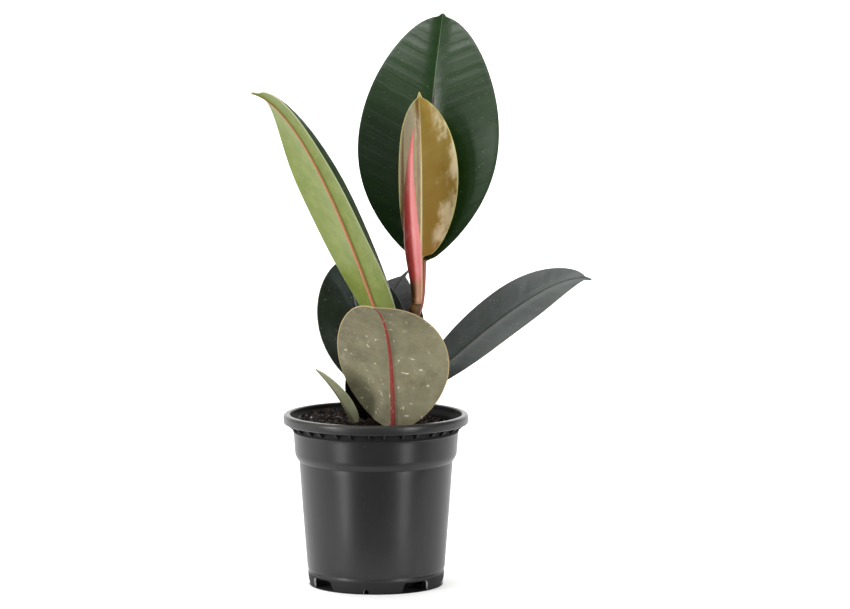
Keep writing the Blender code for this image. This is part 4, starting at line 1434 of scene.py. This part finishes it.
FINISHES = {
    # figure is how strongly the side veins show, coat the weight of the clear coat and
    # painted_sheen the strength of the highlights and reflection painted on a young leaf
    "glossy": dict(upper=tone(19, 46, 10), upper_light=tone(32, 60, 20),
                   under=tone(104, 116, 64), under_light=tone(132, 138, 86),
                   rib_foot=tone(84, 34, 44), rib_tip=tone(116, 146, 104),
                   rib_under=tone(176, 104, 78), margin=tone(48, 56, 36),
                   figure=0.3, roughness=0.25, dust=0.04, specks=0.5, scuffs=0.02,
                   coat=0.5),
    "young": dict(upper=tone(158, 128, 52), upper_light=tone(180, 160, 84),
                  under=tone(150, 140, 72), under_light=tone(176, 168, 100),
                  rib_foot=tone(228, 214, 164), rib_tip=tone(210, 198, 140),
                  rib_under=tone(200, 120, 90), margin=tone(190, 182, 112),
                  figure=0.25, roughness=0.20, dust=0.0, specks=0.05, scuffs=0.0,
                  coat=0.9, painted_sheen=1.0),
    "arching": dict(upper=tone(28, 44, 27), upper_light=tone(48, 70, 40),
                    under=tone(100, 115, 42), under_light=tone(124, 136, 64),
                    rib_foot=tone(110, 120, 80), rib_tip=tone(130, 140, 96),
                    rib_under=tone(182, 116, 84), margin=tone(184, 190, 140),
                    figure=0.5, roughness=0.38, dust=0.1, specks=0.15, scuffs=0.12,
                    coat=0.1),
    "dusty": dict(upper=tone(30, 40, 37), upper_light=tone(50, 62, 58),
                  under=tone(96, 100, 76), under_light=tone(118, 120, 94),
                  rib_foot=tone(70, 70, 58), rib_tip=tone(56, 66, 58),
                  rib_under=tone(150, 70, 62), margin=tone(84, 88, 74),
                  figure=0.12, roughness=0.34, dust=0.35, specks=1.0, scuffs=0.0,
                  coat=0.12),
    # shaded: an almost black upper side, painted shade for leaves lying in shadow under the
    # others
    "shaded": dict(upper=tone(9, 10, 11), upper_light=tone(22, 24, 26),
                   under=tone(70, 72, 56), under_light=tone(90, 92, 74),
                   rib_foot=tone(48, 48, 42), rib_tip=tone(46, 50, 48),
                   rib_under=tone(110, 54, 48), margin=tone(58, 60, 54),
                   figure=0.08, roughness=0.45, dust=0.2, specks=1.0, scuffs=0.0,
                   coat=0.05),
    "worn": dict(upper=tone(34, 47, 36), upper_light=tone(58, 72, 58),
                 under=tone(124, 119, 92), under_light=tone(146, 142, 114),
                 rib_foot=tone(80, 84, 66), rib_tip=tone(86, 92, 72),
                 rib_under=tone(146, 54, 48), margin=tone(196, 168, 122),
                 figure=0.25, roughness=0.50, dust=0.25, specks=0.8, scuffs=1.0,
                 coat=0.0),
    "pale": dict(upper=tone(34, 47, 36), upper_light=tone(58, 72, 58),
                 under=tone(126, 128, 98), under_light=tone(146, 147, 118),
                 rib_foot=tone(96, 100, 78), rib_tip=tone(96, 100, 78),
                 rib_under=tone(114, 112, 84), margin=tone(150, 148, 118),
                 figure=0.3, roughness=0.50, dust=0.2, specks=0.4, scuffs=0.3,
                 coat=0.0),
}


def leaf_material(name, look, upper, upper_light, under, under_light, rib_foot, rib_tip,
                  rib_under, margin, figure, roughness, dust, specks, scuffs, coat,
                  painted_sheen=0.0):
    """Leathery leaf: veined upper and under sides, midrib, pale margin, dust and scuffs, and
    painted sheen and shade on a young leaf.
    """
    paint = Paint(name + "_leaf", IOR=1.45, Specular_IOR_Level=0.36, Coat_Roughness=0.2,
                  Subsurface_Weight=0.03, Subsurface_Radius=(0.4, 1.0, 0.2),
                  Subsurface_Scale=0.0006)
    place = paint.place()
    side, run, inset = paint.split(paint.attribute("leaf_map"))
    above, ratio, share = paint.split(paint.attribute("leaf_trim"))
    top = paint.ease(above, 0.35, 0.65)
    spacing = look.vein_spacing / MM
    drift = paint.cloud(place, 45.0, 3.0)
    vein_run = run - abs(side) * VEIN_SLOPE + (drift - 0.5) * 3.0
    bands = paint.cloud(paint.vector(vein_run / spacing, side * 0.035, share), 1.0, 4.0, 0.6)
    veins = paint.ease((vein_run / spacing).zigzag(), 0.75, 1.0)
    lines = paint.ease((vein_run * 3.7 / spacing + bands * 2.0).zigzag(), 0.5, 1.0)
    mottle = paint.cloud(place, 110.0, 5.0, 0.62)
    grain = paint.cloud(place, 1800.0, 2.0)

    over = paint.mix(upper, upper_light,
                     paint.ease(bands, 0.35, 0.8) * figure + paint.ease(drift, 0.3, 0.75) * 0.4)
    over = paint.mix(over, upper_light, (veins * 0.45 + lines * 0.12) * figure)
    below = paint.mix(under, under_light, paint.ease(mottle, 0.35, 0.7) * 0.6 + bands * figure)
    below = paint.mix(below, under_light, (veins * 0.6 + lines * 0.25) * figure)
    # painted highlight and reflection on a young leaf: cream patches towards its right margin
    # and a silver sheen over its left half
    sheen_cloud = paint.cloud(paint.vector(vein_run / 26.0, side * 0.09, share * 3.0), 1.0, 3.0, 0.6)
    sheen_cloud = sheen_cloud + (bands - 0.5) * 0.25
    right_painted_highlight = paint.ease(sheen_cloud + side * 0.012, 0.60, 0.84) * paint.ease(side, 4.0, 12.0)
    left_painted_reflection = paint.ease(side, -3.0, -7.0) * (0.5 + sheen_cloud * 0.6)
    # painted shade: a dark band in the left half beside the midrib
    groove = paint.ease(side, -0.9, -1.8) * paint.ease(side, -4.6, -3.0)
    over = paint.mix(over, tone(242, 230, 184), right_painted_highlight * 0.9 * painted_sheen)
    over = paint.mix(over, tone(150, 148, 130), left_painted_reflection * painted_sheen)
    over = paint.mix(over, tone(92, 60, 36), groove * 0.7 * painted_sheen)
    rib = paint.ease(ratio, 1.25, 0.7)
    rib_above = paint.mix(rib_foot, rib_tip, paint.ease(share, 0.62, 0.76))
    rib_width = paint.ease(ratio, 0.75, 0.35)
    over = paint.mix(over, rib_above, rib_width)
    below = paint.mix(below, under_light, paint.ease(ratio, 2.4, 1.1) * 0.4)
    below = paint.mix(below, rib_under, rib * (1.0 - paint.ease(share, 0.8, 1.0) * 0.6))
    base = paint.mix(below, over, top)
    stalk = paint.ease(run, 1.5, -0.5)
    base = paint.mix(base, paint.mix(rib_under, rib_foot, grain * 0.5), stalk)
    film = paint.ease(drift + mottle * 0.4, 0.5, 0.95) * dust
    spots = paint.grains(place, 420.0, 0.15, 0.16) + paint.grains(place, 950.0, 0.22, 0.16) * 0.6
    marks = paint.scratches(place, 70.0, 0.016, 0.42) \
        + paint.grains(paint.stretched(place, 0.35, 1.0, 1.0), 300.0, 0.22, 0.10) \
        + paint.grains(paint.stretched(place, 1.0, 1.0, 0.35), 340.0, 0.22, 0.10)
    pale = paint.ease(paint.cloud(place, 130.0, 5.0, 0.75), 0.54, 0.72) \
        * paint.ease(paint.cloud(place, 38.0, 2.0), 0.50, 0.66) * scuffs
    base = paint.mix(base, tone(104, 110, 104), film * 0.28)
    base = paint.mix(base, tone(88, 76, 62),
                     paint.ease(paint.cloud(place, 62.0, 5.0, 0.7), 0.46, 0.74) * scuffs * 0.45)
    base = paint.mix(base, tone(176, 176, 158), pale * 0.55)
    base = paint.mix(base, tone(214, 212, 196), spots * specks * 0.6)
    base = paint.mix(base, tone(220, 218, 200), marks * scuffs * 0.8)
    rim = paint.ease(inset, 0.75, 0.25)
    base = paint.mix(base, margin, rim * 0.85)
    paint.set("Base Color", base)
    paint.set("Roughness", roughness + film * 0.14 + spots * 0.2 + pale * 0.1
              + (1.0 - top) * 0.10 + bands * 0.06)
    paint.set("Coat Weight", top * coat)
    paint.bump((bands * 0.5 + veins * 0.6 + lines * 0.3) * figure + mottle * 0.2
               + grain * 0.06, 0.5, 0.0003)
    return paint.material


def make_leaves(look, pot_look):
    """All leaves, each with its finish."""
    at = pot_levels(pot_look)
    finishes = {name: leaf_material(name, look, **colours)
                for name, colours in FINISHES.items()}
    for leaf in LEAVES + SOIL_LEAVES:
        build_leaf(leaf, look, at, finishes[leaf.finish])


# ================================================================ stage
MIDDLE = (0.0, 0.0, 0.18)    # what most lamps look at
SOFTBOXES = (                # name, place and target in metres, width and height, watts
    ("left_softbox", (-1.82, -1.23, 0.45), MIDDLE, (0.55, 1.2), 34.0),
    ("right_softbox", (1.54, -1.57, 0.45), MIDDLE, (0.4, 1.2), 25.0),
    ("side_softbox", (-2.3, 0.1, 0.75), MIDDLE, (0.9, 1.3), 8.0),
    ("low_left_softbox", (-1.66, -1.44, -0.5), MIDDLE, (0.45, 1.0), 8.5),
    ("low_right_softbox", (1.54, -1.57, -0.5), MIDDLE, (0.36, 1.0), 6.5),
    ("front_softbox", (-1.13, -1.89, 1.95), MIDDLE, (1.0, 0.55), 11.0),
    ("top_softbox", (-0.3, -0.2, 2.5), MIDDLE, (2.4, 2.0), 30.0),
    ("backdrop_softbox", (0.0, 1.6, 3.4), (0.0, 5.5, 0.3), (5.0, 1.5), 230.0),
)
WORLD_STRENGTH = 0.16
FLOOR_FRONT = -115.0         # where the floor ends, in front of the pot


def stage_material(name, colour):
    """Plain pale paper with a very faint grain and a slight glow, with painted shade under the
    pot, where it is dark and does not glow.
    """
    paint = Paint(name, Emission_Strength=0.3)
    place = paint.place()
    x, y, _ = paint.split(place)
    # painted shade: under the pot the floor is dark and does not glow
    inner, outer = (radius * radius for radius in FLOOR_SHADE_EDGE)
    clear = paint.ease(x * x + y * y, inner, outer)
    paint.set("Emission Color", paint.mix((0.0, 0.0, 0.0), (1.0, 1.0, 1.0), clear))
    grain = paint.cloud(place, 60.0, 3.0)
    sheet = paint.mix(colour, tuple(c * 0.985 for c in colour), grain)
    paint.set("Base Color", paint.mix(tone(30, 29, 28), sheet, clear))
    paint.set("Roughness", 0.82 + grain * 0.06)
    return paint.material


def build_backdrop(colour):
    """A wide floor that curves up into a wall behind the plant."""
    depth, bend, height, width = 3000.0, 1500.0, 5000.0, 9000.0
    section = [(FLOOR_FRONT, 0.0), (0.0, 0.0), (depth, 0.0)]
    section += [(depth + y, z) for y, z in arc((0.0, bend), bend, -85, 0, 12)]
    section += [(depth + bend, height)]
    points = [(x, y, z) for x in (-width, width) for y, z in section]
    count = len(section)
    faces = [(i, i + count, i + count + 1, i + 1) for i in range(count - 1)]
    backdrop = new_object("backdrop", mesh_of("backdrop", points, faces=faces),
                          stage_material("backdrop_paper", colour))
    backdrop.data.shade_smooth()


def add_softbox(name, place, target, size, power):
    """A soft square lamp that looks at a target, all in metres."""
    lamp = bpy.data.lights.new(name, "AREA")
    lamp.shape = "RECTANGLE"
    lamp.size, lamp.size_y = size
    lamp.energy = power
    obj = bpy.data.objects.new(name, lamp)
    bpy.context.scene.collection.objects.link(obj)
    obj.location = place
    obj.rotation_euler = (Vector(target) - Vector(place)).to_track_quat("-Z", "Y").to_euler()


def add_world(strength):
    """An even pale surround."""
    world = bpy.data.worlds.new("studio")
    world.use_nodes = True
    background = world.node_tree.nodes["Background"]
    background.inputs["Color"].default_value = (1.0, 1.0, 1.0, 1.0)
    background.inputs["Strength"].default_value = strength
    bpy.context.scene.world = world


def add_camera(look):
    """The camera, low and far off, looking slightly down."""
    data = bpy.data.cameras.new("camera")
    data.sensor_width = 36.0
    data.lens = look.camera_lens
    data.clip_end = 50.0
    camera = bpy.data.objects.new("camera", data)
    bpy.context.scene.collection.objects.link(camera)
    camera.location = (look.camera_side, -look.camera_distance, look.camera_height)
    camera.rotation_euler = (pi / 2 - look.camera_pitch, 0.0, 0.0)
    bpy.context.scene.camera = camera


def make_stage(look):
    """Camera, lights, surround and backdrop."""
    add_camera(look)
    build_backdrop(look.backdrop)
    for name, place, target, size, power in SOFTBOXES:
        add_softbox(name, place, target, size, power * look.light)
    add_world(WORLD_STRENGTH * look.light)
    bpy.context.scene.view_settings.view_transform = "Standard"
    bpy.context.scene.view_settings.look = "None"


# ================================================================ operators and panel
class RUBBERPLANT_OT_pot(bpy.types.Operator):
    """Make the nursery pot and its gussets."""
    bl_idname = "rubberplant.pot"
    bl_label = "Pot"

    def execute(self, context):
        make_pot(context.scene.pot_look)
        return {"FINISHED"}


class RUBBERPLANT_OT_soil(bpy.types.Operator):
    """Make the soil with its crumbs and fibres."""
    bl_idname = "rubberplant.soil"
    bl_label = "Soil"

    def execute(self, context):
        make_soil(context.scene.soil_look, context.scene.pot_look)
        return {"FINISHED"}


class RUBBERPLANT_OT_stem(bpy.types.Operator):
    """Make the stem and the bud sheath on its top."""
    bl_idname = "rubberplant.stem"
    bl_label = "Stem and sheath"

    def execute(self, context):
        look = context.scene.plant_look
        at = pot_levels(context.scene.pot_look)
        build_stem(look, at, stem_finish(look))
        build_sheath(look, at, sheath_finish(look))
        return {"FINISHED"}


class RUBBERPLANT_OT_leaves(bpy.types.Operator):
    """Make all the leaves."""
    bl_idname = "rubberplant.leaves"
    bl_label = "Leaves"

    def execute(self, context):
        make_leaves(context.scene.plant_look, context.scene.pot_look)
        return {"FINISHED"}


class RUBBERPLANT_OT_stage(bpy.types.Operator):
    """Make the camera, the lights and the backdrop."""
    bl_idname = "rubberplant.stage"
    bl_label = "Stage"

    def execute(self, context):
        make_stage(context.scene.stage_look)
        return {"FINISHED"}


OPERATORS = (RUBBERPLANT_OT_pot, RUBBERPLANT_OT_soil, RUBBERPLANT_OT_stem,
             RUBBERPLANT_OT_leaves, RUBBERPLANT_OT_stage)


class RUBBERPLANT_PT_panel(bpy.types.Panel):
    """Buttons that make the plant piece by piece."""
    bl_label = "Rubber Plant"
    bl_idname = "RUBBERPLANT_PT_panel"
    bl_space_type = "VIEW_3D"
    bl_region_type = "UI"
    bl_category = "Rubber Plant"

    def draw(self, context):
        for operator in OPERATORS:
            self.layout.operator(operator.bl_idname)
        for name in LOOKS:
            box = self.layout.box()
            settings = getattr(context.scene, name)
            for key in settings.__annotations__:
                box.prop(settings, key)


LOOKS = {"pot_look": PotLook, "soil_look": SoilLook, "plant_look": PlantLook,
         "stage_look": StageLook}
CLASSES = tuple(LOOKS.values()) + OPERATORS + (RUBBERPLANT_PT_panel,)


def register():
    for cls in CLASSES:
        bpy.utils.register_class(cls)
    for name, group in LOOKS.items():
        setattr(bpy.types.Scene, name, PointerProperty(type=group))


def unregister():
    for name in LOOKS:
        delattr(bpy.types.Scene, name)
    for cls in reversed(CLASSES):
        bpy.utils.unregister_class(cls)


def main():
    register()
    bpy.ops.rubberplant.stage()
    bpy.ops.rubberplant.pot()
    bpy.ops.rubberplant.soil()
    bpy.ops.rubberplant.stem()
    bpy.ops.rubberplant.leaves()


if __name__ == "__main__":
    main()
